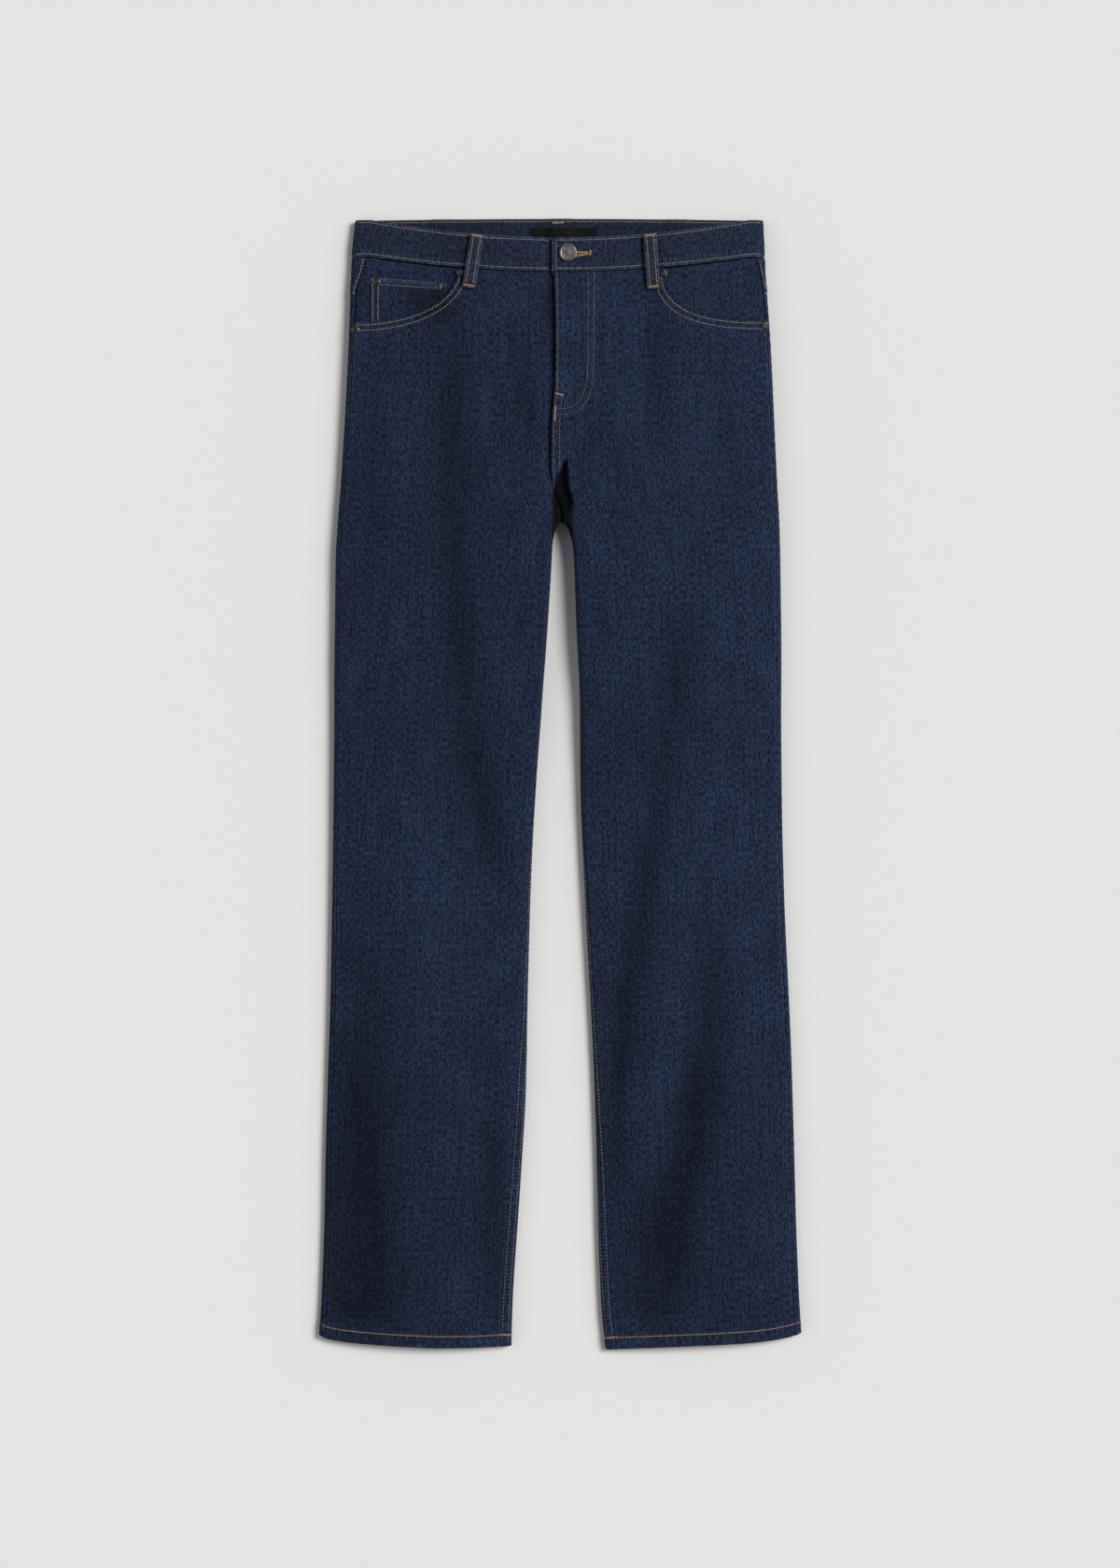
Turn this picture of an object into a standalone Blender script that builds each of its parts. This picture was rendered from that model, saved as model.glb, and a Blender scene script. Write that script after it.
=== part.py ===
"""Bootcut jeans laid flat on a surface, front uppermost, button and fly closed.

X runs across the garment, the wearer's left at +X. Y runs up it, from the hems to the waist.
Z is the height above the surface, which the backs, the yokes and the back of the waistband lie on.
Sizes below are millimetres; the meshes are made in metres.
"""

import math
from collections import namedtuple

import bmesh
import bpy
import numpy as np
from mathutils import Vector
from mathutils.bvhtree import BVHTree

MM = 0.001
RIGHT, LEFT = -1, 1  # the wearer's sides, as the sign of X
SIDES = {"right": RIGHT, "left": LEFT}

# Cloth and seams
CLOTH = 1.2  # one layer of denim
HEM_CLOTH = 2.4  # the hem's two layers
BAND_CLOTH = 2.4  # the waistband is folded double
SEAM = 0.3  # clearance between pieces at every seam
BAND_PROUD = 0.8  # how far the waistband stands out of the panels

# Heights up the garment
WAIST_SEAM = 522.0
PANEL_TOP = 521.2
BAND_TOP = 558.5
BACK_RISE = 2.0  # the back of the waistband stands this much higher than its sides
SEAM_DIP, TOP_DIP, DIP_HALF = 15.0, 18.0, 187.0  # the front waist dips towards the button
YOKE_SEAM = 484.0
YOKE_DROP, YOKE_HALF = 32.0, 194.0  # the yoke seam falls to the centre back
CROTCH = 258.7
VALLEY_TOP = 316.0  # the centre front starts to sink between the legs here
SEAT_RISE = 35.0  # length over which the centre back lifts to the crotch
WEB = 32.0  # length over which the legs part below the crotch
CROTCH_X = 1.8
HEM_FOOT = {RIGHT: -558.5, LEFT: -560.5}
HEM_DEPTH = 13.0
HEM_BROAD = {RIGHT: 5.5, LEFT: 15.5}  # rise of the hem towards the side seam, spread over the leg
HEM_CORNER = {RIGHT: 16.5, LEFT: 1.0}  # and close to the side seam only

# Sections across the garment, from the hems up. Widths are from the middle of the garment.
# crown: height of the middle of the leg. side_fold, inner_fold: thickness of the folded edges.
Section = namedtuple("Section", "y right_side left_side right_inner left_inner crown side_fold inner_fold")
SECTIONS = [
    Section(-570, 239.4, 239.3, 48.8, 46.8, 12.5, 9.2, 9.2),
    Section(-517, 236.0, 236.5, 47.0, 41.0, 12.3, 9.1, 9.1),
    Section(-444, 233.5, 234.0, 42.5, 38.0, 12.4, 9.1, 8.9),
    Section(-370, 232.0, 232.0, 37.5, 36.5, 12.7, 9.2, 8.8),
    Section(-296, 230.0, 230.0, 33.5, 34.3, 13.2, 9.3, 8.8),
    Section(-222, 227.5, 227.0, 32.5, 31.0, 13.5, 9.5, 9.0),
    Section(-111, 225.5, 222.0, 29.6, 25.0, 14.5, 10.0, 9.5),
    Section(0, 224.0, 219.5, 24.0, 20.5, 16.0, 10.5, 10.0),
    Section(74, 223.5, 219.0, 18.5, 20.0, 17.0, 11.0, 12.5),
    Section(148, 223.0, 219.0, 13.0, 16.8, 18.5, 11.5, 15.5),
    Section(222, 222.0, 218.0, 8.5, 14.0, 20.0, 12.0, 18.0),
    Section(259, 219.9, 217.0, 7.2, 11.0, 21.0, 12.5, 19.0),
    Section(296, 217.0, 215.0, 7.2, 11.0, 21.5, 13.0, 19.0),
    Section(370, 212.5, 211.5, 7.2, 11.0, 21.5, 13.5, 17.0),
    Section(441, 209.0, 208.0, 7.2, 11.0, 20.5, 13.0, 15.0),
    Section(508, 207.0, 203.5, 7.2, 11.0, 17.0, 10.5, 12.0),
    Section(570, 201.5, 200.5, 7.2, 11.0, 14.5, 8.5, 12.0),
]

# Where the seams run. side_*: how far the side seam lies inside the folded edge, on the front.
# inner_*: the same for the inseam, which the front hides above the knee.
SeamLine = namedtuple("SeamLine", "y side_right side_left inner_right inner_left")
SEAM_LINES = [
    SeamLine(-570, 5.5, 6.5, 11.5, 7.5),
    SeamLine(-444, 5.0, 5.0, 10.5, 6.5),
    SeamLine(-296, 4.6, 4.4, 9.0, 5.0),
    SeamLine(-222, 4.4, 4.2, 5.0, 3.5),
    SeamLine(-111, 4.2, 4.0, 2.8, 2.5),
    SeamLine(-18, 4.2, 4.0, 1.4, 0.6),
    SeamLine(80, 4.2, 4.0, 0.0, 0.0),
    SeamLine(300, 4.2, 3.6, 0.0, 0.0),
    SeamLine(441, 4.6, 2.6, 0.0, 0.0),
    SeamLine(483, 4.8, 2.7, 0.0, 0.0),
    SeamLine(495, 7.0, 3.2, 0.0, 0.0),
    SeamLine(508, 11.4, 5.5, 0.0, 0.0),
    SeamLine(524, 13.5, 8.0, 0.0, 0.0),
    SeamLine(570, 15.0, 9.0, 0.0, 0.0),
]

# The fly's edge and the seam below it, as x at heights y
FlyPoint = namedtuple("FlyPoint", "y x")
FLY_LINE = [
    FlyPoint(258.7, 1.8),
    FlyPoint(276, 1.0),
    FlyPoint(296, -1.8),
    FlyPoint(314, -5.5),
    FlyPoint(332, -8.3),
    FlyPoint(360, -8.3),
    FlyPoint(379, -6.5),
    FlyPoint(393, -2.8),
    FlyPoint(433, -1.8),
    FlyPoint(471, -3.7),
    FlyPoint(500, -7.4),
    FlyPoint(522, -8.8),
    FlyPoint(570, -8.8),
]

# How widely the cloth rounds over beside the centre front and down the inner leg
RoundPoint = namedtuple("RoundPoint", "y width")
INNER_ROUNDS = [
    RoundPoint(-570, 4.6),
    RoundPoint(0, 5.5),
    RoundPoint(150, 6.5),
    RoundPoint(222, 8.0),
    RoundPoint(242, 10.0),
    RoundPoint(259, 11.5),
    RoundPoint(292, 10.0),
    RoundPoint(316, 3.0),
    RoundPoint(330, 1.5),
    RoundPoint(570, 1.5),
]

# Soft folds of the front: a line from one end to the other, its half width and its height (troughs below 0)
Fold = namedtuple("Fold", "x0 y0 x1 y1 half height")
FOLDS = [
    Fold(-112, 265, -58, -95, 20, -2.2),
    Fold(-150, 130, -120, -260, 30, 1.2),
    Fold(-200, -150, -205, -500, 28, -1.8),
    Fold(-120, 470, -125, 300, 16, -1.2),
    Fold(-95, 480, -90, 300, 12, 0.9),
    Fold(-55, 440, -22, 330, 12, -0.8),
    Fold(-75, -180, -85, -480, 20, -0.8),
    Fold(130, 175, 60, -250, 20, -2.2),
    Fold(160, -150, 92, -510, 20, -2.8),
    Fold(100, -60, 55, -420, 24, 1.0),
    Fold(190, 345, 150, 225, 18, -1.2),
    Fold(95, 500, 92, 330, 15, -1.2),
    Fold(150, 60, 185, -330, 26, 1.2),
    Fold(8, 322, 42, 362, 7, -1.0),
]

# Pocket mouth: a quarter ellipse from the side seam up to the waist seam
MOUTH_TOP = 512.0
MOUTH_CENTRE = {RIGHT: 202.4, LEFT: 205.0}
MOUTH_WIDTH = {RIGHT: 101.6, LEFT: 102.6}
MOUTH_DEPTH = {RIGHT: 55.0, LEFT: 53.0}
MOUTH_POWER = {RIGHT: 2.15, LEFT: 2.75}  # 2 would make the mouth a quarter of an ellipse
FACING_CLOTH = 1.0
COIN_CLOTH = 1.0
FACING_STOPS = 11  # the facing has this many of the front's columns of points, from the side seam on
FACING_ROWS = 3  # and this many of its rows below the yoke
FACING_DEPTH = CLOTH + 2 * SEAM
COIN = {"side": 187.5, "inner": 112.0, "top_side": 502.0, "top_inner": 495.5, "foot": 444.0}

# Fly, button and buttonhole
FLY_TUCK = 5.0  # the right front runs on under the fly
FLY_BLEND = 9.0
BAND_TUCK = 27.0  # the right end of the waistband runs on under the button
BAND_CORNER = 5.0
BUTTON = {"x": 8.3, "y": 526.7, "radius": 8.5, "height": 2.6, "shank": 3.4}

# Belt loops of the front: centre line at the top and at the foot
LOOP_WIDTH = 11.5
LOOP_CLOTH = 1.6
LOOP_BOW = 1.3
FRONT_LOOPS = {
    "right": {"top": (-81.6, 543.0), "foot": (-90.0, 491.0)},
    "left": {"top": (88.7, 543.5), "foot": (92.6, 490.0)},
}

# Pieces under the garment, which lift the cloth above them. Heights are those of the back's rows, which
# bend with the yoke seam.
PATCH_CLOTH = 1.2
POCKET = {"inner": 29.0, "side": 177.0, "top": 452.0, "corner": 310.0, "point": 290.0}
POCKET_RAMP = {"inner": (12.0, 22.0), "side": (182.0, 194.0), "y": (276.0, 284.0, 458.0, 466.0)}
BACK_LOOP_CLOTH = 1.5
BACK_LOOPS = {"back_right": -118.0, "back_centre": 0.0, "back_left": 118.0}
BACK_LOOP_FOOT = 507.5
BACK_LOOP_ROWS = (500.0, 506.0)  # rows at which the lift is gone and whole
BACK_LOOP_RAMP = (7.5, 14.0)  # half widths at which the lift is whole and gone

LABEL = {"x": 3.7, "width": 66.0, "top": 551.5, "foot": 527.0, "cloth": 0.6}

RIVET_RADIUS = 4.2
RIVET_HEIGHT = 1.3
Rivet = namedtuple("Rivet", "name x y on")
RIVETS = [
    Rivet("rivet_mouth_right", -98.6, 506.0, "leg_right"),
    Rivet("rivet_mouth_left", 102.2, 505.0, "leg_left"),
    Rivet("rivet_side_right", -202.4, 449.5, "leg_right"),
    Rivet("rivet_side_left", 203.2, 454.0, "leg_left"),
    Rivet("rivet_coin_side", -181.6, 497.2, "coin"),
    Rivet("rivet_coin_inner", -120.6, 491.3, "coin"),
]

# How finely the sections are worked out
RING_POINTS = 260
NORMAL_STEP = 0.25


# ---------------------------------------------------------------- curves


def quarter(t):
    """Quarter circle: 0 at 0 with an upright start, 1 from 1 on."""
    t = np.clip(t, 0.0, 1.0)
    return np.sqrt(1.0 - (1.0 - t) ** 2)


def ease(t):
    t = np.clip(t, 0.0, 1.0)
    return t * t * (3.0 - 2.0 * t)


def smooth_table(rows, column):
    """A function of y that passes smoothly through one column of a table, without overshooting it."""
    ys = np.array([row.y for row in rows], float)
    values = np.array([getattr(row, column) for row in rows], float)
    rates = np.diff(values) / np.diff(ys)
    slopes = np.concatenate([rates[:1], np.zeros(len(ys) - 2), rates[-1:]])
    for i, (before, after) in enumerate(zip(rates, rates[1:]), start=1):
        if before * after > 0:
            slopes[i] = 2 * before * after / (before + after)

    def at(y):
        k = int(np.clip(np.searchsorted(ys, y) - 1, 0, len(ys) - 2))
        span = ys[k + 1] - ys[k]
        t = min(max((y - ys[k]) / span, 0.0), 1.0)
        blend = t * t * (3 - 2 * t)
        start = t * (1 - t) ** 2 * span * slopes[k]
        end = t * t * (t - 1) * span * slopes[k + 1]
        return values[k] * (1 - blend) + values[k + 1] * blend + start + end

    return at


SIDE_EDGE = {RIGHT: smooth_table(SECTIONS, "right_side"), LEFT: smooth_table(SECTIONS, "left_side")}
INNER_EDGE = {RIGHT: smooth_table(SECTIONS, "right_inner"), LEFT: smooth_table(SECTIONS, "left_inner")}
CROWN = smooth_table(SECTIONS, "crown")
SIDE_FOLD = smooth_table(SECTIONS, "side_fold")
INNER_FOLD = smooth_table(SECTIONS, "inner_fold")
INNER_ROUND = smooth_table(INNER_ROUNDS, "width")
SIDE_SEAM = {RIGHT: smooth_table(SEAM_LINES, "side_right"), LEFT: smooth_table(SEAM_LINES, "side_left")}
INSEAM = {RIGHT: smooth_table(SEAM_LINES, "inner_right"), LEFT: smooth_table(SEAM_LINES, "inner_left")}
FLY_X = smooth_table(FLY_LINE, "x")


def centre_back(y):
    return CROTCH_X * (1 - float(ease((y - CROTCH) / 60)))


def fold_height(x, y):
    """Height that the soft folds add to the front at x, y."""
    total = 0.0
    for fold in FOLDS:
        along = np.array([fold.x1 - fold.x0, fold.y1 - fold.y0])
        length = np.hypot(*along)
        along = along / length
        dx, dy = x - fold.x0, y - fold.y0
        run = (dx * along[0] + dy * along[1]) / length
        across = (dx * along[1] - dy * along[0]) / fold.half
        total = total + fold.height * np.exp(-across * across) * np.sin(np.pi * np.clip(run, 0, 1)) ** 2
    return total


def lift(x, y):
    """How far the pockets and belt loops underneath raise the cloth that lies on them."""
    inner, side, rows = POCKET_RAMP["inner"], POCKET_RAMP["side"], POCKET_RAMP["y"]
    reach = abs(x)
    across = min(ramp(reach, *inner), 1 - ramp(reach, *side))
    along = min(ramp(y, rows[0], rows[1]), 1 - ramp(y, rows[2], rows[3]))
    pocket = (PATCH_CLOTH + SEAM) * max(0.0, min(across, along))
    nearest = min(abs(x - centre) for centre in BACK_LOOPS.values())
    beside = 1 - ramp(nearest, *BACK_LOOP_RAMP)
    above = ramp(y, *BACK_LOOP_ROWS)
    return max(pocket, (BACK_LOOP_CLOTH + SEAM) * min(beside, above))


def ramp(value, low, high):
    return min(max((value - low) / (high - low), 0.0), 1.0)


# ---------------------------------------------------------------- sections


class Ring:
    """A section across one leg, or across one half of the seat, at a height y.

    It runs from the inner edge over the top to the side fold, and back underneath. Its points are
    (q, z), with q the distance from the garment's middle towards the side."""

    def __init__(self, side, y, proud=0.0):
        self.side, self.y = side, y
        inner, top_end, under_end = self.inner_end()
        outer = SIDE_EDGE[side](y) + 0.6 * proud
        side_fold, inner_fold = SIDE_FOLD(y) + proud, INNER_FOLD(y)
        crown = CROWN(y) + proud
        spread = (1 - np.cos(np.linspace(0, np.pi, RING_POINTS))) / 2
        q = inner + (outer - inner) * spread
        share = (outer - q) / (outer - inner)
        split = ease((360 - y) / 135)  # 0 where the legs are one seat, 1 where each has its own crown
        arch = np.clip(np.sin(np.pi * share * (0.5 + 0.5 * split)), 0, 1) ** 0.85
        fold = side_fold + (inner_fold - side_fold) * ease(share)
        plateau = fold + (crown - fold) * arch
        plateau += fold_height(side * q, y) * ease((outer - q) / 25) * ease((q - inner) / 25 + 1 - split)
        if top_end is None:
            top_end = plateau[0]
        elif y > CROTCH:
            top_end = top_end + (plateau[0] - top_end) * float(quarter((y - CROTCH) / (VALLEY_TOP - CROTCH)))
        side_round = 0.6 * side_fold
        inner_round = INNER_ROUND(y)
        over = plateau * (0.5 + 0.5 * quarter((outer - q) / side_round))
        top = top_end + (over - top_end) * quarter((q - inner) / inner_round)
        under_round = max(inner_round, 11.0) if y > CROTCH else inner_round
        under = 0.5 * side_fold * (1 - quarter((outer - q) / side_round))
        centre = side * centre_back(y) if y > CROTCH else inner
        under = under + under_end * (1 - quarter((q - centre) / under_round))
        under[-1] = top[-1]
        self.q = np.concatenate([q, q[-2::-1]])
        self.z = np.concatenate([top, under[-2::-1]])
        steps = np.hypot(np.diff(self.q), np.diff(self.z))
        self.arc = np.concatenate([[0.0], np.cumsum(steps)])
        self.side_arc = self.arc[RING_POINTS - 1]
        self.length = self.arc[-1]
        self.inner, self.outer = inner, outer

    def inner_end(self):
        """Where the section starts and how high: (q, top z, under z). The top z is None on the flat seat."""
        side, y = self.side, self.y
        middle = 0.5 * INNER_FOLD(CROTCH)
        if y > CROTCH:
            q = side * FLY_X(y) + SEAM / 2
            if y >= VALLEY_TOP:
                return q, None, 0.0
            return q, middle, middle * (1 - float(quarter((y - CROTCH) / SEAT_RISE)))
        q = side * CROTCH_X + SEAM / 2
        q += (INNER_EDGE[side](y) - q) * float(quarter((CROTCH - y) / WEB))
        return q, 0.5 * INNER_FOLD(y), 0.5 * INNER_FOLD(y)

    def at(self, arc):
        """The point at this distance along the section. A leg's section is closed, the seat's runs straight on."""
        if self.y <= CROTCH:
            arc = arc % self.length
        elif arc < 0:
            return self.q[0] + arc, self.z[0]
        elif arc > self.length:
            return self.q[-1] - (arc - self.length), self.z[-1]
        return float(np.interp(arc, self.arc, self.q)), float(np.interp(arc, self.arc, self.z))

    def top_arc(self, q):
        return float(np.interp(q, self.q[:RING_POINTS], self.arc[:RING_POINTS]))

    def under_arc(self, q):
        beyond = max(0.0, self.inner - q)
        return float(np.interp(-q, -self.q[RING_POINTS - 1 :], self.arc[RING_POINTS - 1 :])) + beyond

    def under_end(self):
        """Where the back ends: at the centre back seam of the seat, or at the inseam of a leg."""
        if self.y > CROTCH:
            return self.under_arc(self.side * centre_back(self.y) + SEAM / 2)
        return self.length + self.inseam() - SEAM / 2

    def side_seam(self):
        return self.top_arc(self.outer - SIDE_SEAM[self.side](self.y))

    def inseam(self):
        return self.top_arc(self.inner + INSEAM[self.side](self.y)) if self.y <= CROTCH else 0.0

    def front_start(self):
        return self.inseam() + (SEAM / 2 if self.y <= CROTCH else 0.0)


# ---------------------------------------------------------------- where a point of a section goes


def waist_dip(x):
    return max(0.0, 1 - (x / DIP_HALF) ** 2)


def hem_rise(side, q, y):
    inner, outer = INNER_EDGE[side](y), SIDE_EDGE[side](y)
    u = min(max((q - inner) / (outer - inner), 0.0), 1.0)
    near = float(ease((-440 - y) / 110))
    return near * (HEM_BROAD[side] * u**2.5 + HEM_CORNER[side] * u**26)


def place_front(side, q, z, y):
    x = side * q
    dip = SEAM_DIP * waist_dip(x) * float(ease((y - 400) / (WAIST_SEAM - 400)))
    return Vector((x, y - dip + hem_rise(side, q, y), z))


def place_right_front(side, q, z, y):
    """As place_front, with the cloth beside the fly sunk under the left front."""
    beyond = q - side * FLY_X(y)
    near = 1 - float(ease((beyond - 3) / FLY_BLEND))
    return place_front(side, q, z - (CLOTH + SEAM) * near * fly_share(y), y)


def fly_share(y):
    """1 along the fly and the seam below it, fading out before the crotch."""
    return float(ease((y - 290) / 30))


def place_back(side, q, z, y):
    x = side * q
    drop = YOKE_DROP * max(0.0, 1 - abs(x) / YOKE_HALF)
    if y > YOKE_SEAM:
        drop *= (WAIST_SEAM - y) / (WAIST_SEAM - YOKE_SEAM)
    else:
        drop *= float(ease((y - 300) / (YOKE_SEAM - 300)))
    raised = lift(x, y) if z < 5.0 else 0.0
    return Vector((x, y - drop + hem_rise(side, q, y), z + raised))


def place_band(side, q, z, y):
    """The waistband, whose rows of points run from the waist seam (WAIST_SEAM) to its top (BAND_TOP)."""
    x = side * q
    v = (y - WAIST_SEAM) / (BAND_TOP - WAIST_SEAM)
    if z > 5.0:
        dip = (SEAM_DIP + (TOP_DIP - SEAM_DIP) * v) * waist_dip(x)
        return Vector((x, y - dip, z))
    rise = v * BACK_RISE * max(0.0, 1 - (x / SIDE_EDGE[side](y)) ** 2)
    return Vector((x, y + rise, z + lift(x, y)))


# ---------------------------------------------------------------- cloth


def mesh_object(name, bm, material):
    bmesh.ops.recalc_face_normals(bm, faces=bm.faces)
    mesh = bpy.data.meshes.new(name)
    bm.to_mesh(mesh)
    bm.free()
    mesh.shade_smooth()
    mesh.set_sharp_from_angle(angle=math.radians(40))
    mesh.materials.append(material)
    obj = bpy.data.objects.new(name, mesh)
    PARTS.objects.link(obj)
    return obj


def loft(name, outer, inner, material):
    """A closed wall between two grids of points, each a list of rows."""
    bm = bmesh.new()
    rows, columns = len(outer), len(outer[0])
    skins = [[[bm.verts.new(p * MM) for p in row] for row in grid] for grid in (outer, inner)]
    for skin in skins:
        for i in range(rows - 1):
            for j in range(columns - 1):
                bm.faces.new((skin[i][j], skin[i][j + 1], skin[i + 1][j + 1], skin[i + 1][j]))
    around = [(0, j) for j in range(columns)]
    around += [(i, columns - 1) for i in range(1, rows)]
    around += [(rows - 1, j) for j in range(columns - 2, -1, -1)]
    around += [(i, 0) for i in range(rows - 2, 0, -1)]
    for (i, j), (k, m) in zip(around, around[1:] + around[:1]):
        bm.faces.new((skins[0][i][j], skins[0][k][m], skins[1][k][m], skins[1][i][j]))
    return mesh_object(name, bm, material)


def surface_of(obj):
    """A piece's skin, in millimetres, for others to lie on."""
    mesh = obj.data
    points = [v.co / MM for v in mesh.vertices]
    return BVHTree.FromPolygons(points, [tuple(p.vertices) for p in mesh.polygons])


def seat(surfaces, x, y):
    """The highest point of these skins at x, y, and the direction that the highest one faces there."""
    best = (-1e3, Vector((0, 0, 1)))
    for surface in surfaces:
        hit = surface.ray_cast(Vector((x, y, 100)), Vector((0, 0, -1)))
        if hit[0] is not None and hit[0].z > best[0]:
            best = (hit[0].z, hit[1])
    return best


def section_grid(side, rows, stops, place, proud=0.0):
    """Points and outward normals where each row's section meets each stop. A stop is a function of a Ring
    that gives a distance along it."""
    points, normals = [], []
    for y in rows:
        rings = [Ring(side, y + step, proud) for step in (0.0, NORMAL_STEP, -NORMAL_STEP)]
        point_row, normal_row = [], []
        for stop in stops:
            arc = stop(rings[0])
            here = place(side, *rings[0].at(arc), y)
            along = place(side, *rings[0].at(arc + NORMAL_STEP), y) - place(
                side, *rings[0].at(arc - NORMAL_STEP), y
            )
            up = place(side, *rings[1].at(stop(rings[1])), y + NORMAL_STEP) - place(
                side, *rings[2].at(stop(rings[2])), y - NORMAL_STEP
            )
            point_row.append(here)
            normal_row.append(side * along.cross(up).normalized())
        points.append(point_row)
        normals.append(normal_row)
    return points, normals


def moved_in(points, normals, depths):
    """The grid moved in from the outer face. depths holds one distance for each row."""
    return [
        [p - n * depth for p, n in zip(point_row, normal_row)]
        for point_row, normal_row, depth in zip(points, normals, depths)
    ]


def cloth(name, side, rows, stops, place, material, thickness=CLOTH, depth=0.0, proud=0.0):
    """A panel of cloth. depth moves its outer face in; thickness may be one value or one for each row."""
    thicknesses = thickness if isinstance(thickness, list) else [thickness] * len(rows)
    points, normals = section_grid(side, rows, stops, place, proud)
    outer = moved_in(points, normals, [depth] * len(rows))
    inner = moved_in(points, normals, [depth + t for t in thicknesses])
    return loft(name, outer, inner, material)


# ---------------------------------------------------------------- legs


# Rows of points up a leg, the same in front and back so that their edges match
YOKE_ROWS = [PANEL_TOP, 514, 506, 500, 492]
LEG_ROWS = [
    466, 458, 430, 395, 366, 348, 330, 314, 302, 293, 284, 276, 267, 262, 259.6, CROTCH, 257.8, 255.5,
    251, 244, 234, 220, 200, 165, 130, 90, 40, -15, -70, -130, -190, -250, -310, -370, -425, -475, -515,
]  # fmt: skip


def with_hem(side, rows):
    """The rows of a leg down to its foot, and the thickness of the cloth at each."""
    foot = HEM_FOOT[side]
    hem_rows = [foot + HEM_DEPTH + 1.5, foot + HEM_DEPTH, foot]
    thickness = [CLOTH] * (len(rows) + 1) + [HEM_CLOTH] * 2
    return rows + hem_rows, thickness


def spaced(start, end, near_start, near_end, middle):
    """Stops between two others: some at set distances from each end, and evenly spaced ones between."""
    stops = [lambda ring, d=d: start(ring) + d for d in near_start]
    for i in range(1, middle):
        stops.append(
            lambda ring, f=i / middle: (start(ring) + near_start[-1]) * (1 - f) + (end(ring) - near_end[-1]) * f
        )
    stops += [lambda ring, d=d: end(ring) - d for d in reversed(near_end)]
    return stops


def front_stops(side):
    def inner(ring):
        tuck = FLY_TUCK * float(ease((ring.y - 324) / 22)) if side == RIGHT else 0.0
        return ring.front_start() - tuck

    return spaced(inner, lambda ring: ring.side_seam() - SEAM / 2, (0, 3, 7, 12, 20), (0, 3, 7, 12, 20), 10)


def front_leg(name, side):
    rows, thickness = with_hem(side, YOKE_ROWS + [YOKE_SEAM] + LEG_ROWS)
    stops = front_stops(side)
    place = place_right_front if side == RIGHT else place_front
    leg = cloth(f"front_leg_{name}", side, rows, stops, place, DENIM, thickness)
    cut = leg.modifiers.new("pocket mouth", "BOOLEAN")
    cut.object = mouth_cutter(name, side)
    cut.solver = "EXACT"
    return leg


def back_stops():
    """The first stops of a piece that lies underneath: from the side seam round the side fold."""
    start = Ring.side_seam
    fold = [lambda ring: start(ring) + SEAM / 2, lambda ring: (start(ring) + ring.side_arc) / 2]
    fold += [lambda ring: ring.side_arc, lambda ring: ring.side_arc + 0.35 * SIDE_FOLD(ring.y)]
    fold += [lambda ring: ring.side_arc + 0.75 * SIDE_FOLD(ring.y)]
    return fold + [lambda ring: ring.under_arc(ring.outer - 0.65 * SIDE_FOLD(ring.y))]


def inner_side(ring):
    return ring.side * centre_back(ring.y) if ring.y > CROTCH else ring.inner


def under_width(ring):
    """Width of the rounded stretch underneath, beside the inner edge or the centre back."""
    return max(INNER_ROUND(ring.y), 11.0) if ring.y > CROTCH else INNER_ROUND(ring.y)


def back_leg(name, side):
    rows, thickness = with_hem(side, [YOKE_SEAM - SEAM / 2] + LEG_ROWS)
    (inner_gone, inner_whole), (side_whole, side_gone) = POCKET_RAMP["inner"], POCKET_RAMP["side"]

    def flat(reach, share):
        """A stop at this distance from the middle of the seat, and this share of the way across a leg."""

        def stop(ring):
            legs = float(ease((270 - ring.y) / 60))
            far = inner_side(ring) + under_width(ring)
            near = ring.outer - 0.65 * SIDE_FOLD(ring.y)
            return ring.under_arc(reach * (1 - legs) + (near + (far - near) * share) * legs)

        return stop

    stops = back_stops()
    stops += [flat(side_gone, 0.2), flat(side_whole, 0.35), flat(102, 0.5), flat(inner_whole, 0.65)]
    stops += [flat(inner_gone, 0.8), lambda ring: ring.under_arc(inner_side(ring) + under_width(ring))]
    stops += [lambda ring: ring.under_arc(inner_side(ring) + 0.55 * under_width(ring))]
    stops += [lambda ring: ring.under_arc(inner_side(ring) + 0.2 * under_width(ring))]
    stops += [lambda ring: ring.under_end()]
    return cloth(f"back_leg_{name}", side, rows, stops, place_back, DENIM, thickness)


def back_yoke(name, side):
    def at_x(reach):
        return lambda ring: ring.under_arc(reach)

    stops = back_stops()
    stops += [at_x(reach) for reach in (YOKE_HALF, 160, 132, 125.5, 110.5, 104, 60, 14, 7.5)]
    stops += [lambda ring: ring.under_end()]
    return cloth(f"back_yoke_{name}", side, YOKE_ROWS + [YOKE_SEAM + SEAM / 2], stops, place_back, DENIM)


# ---------------------------------------------------------------- pockets


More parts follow.
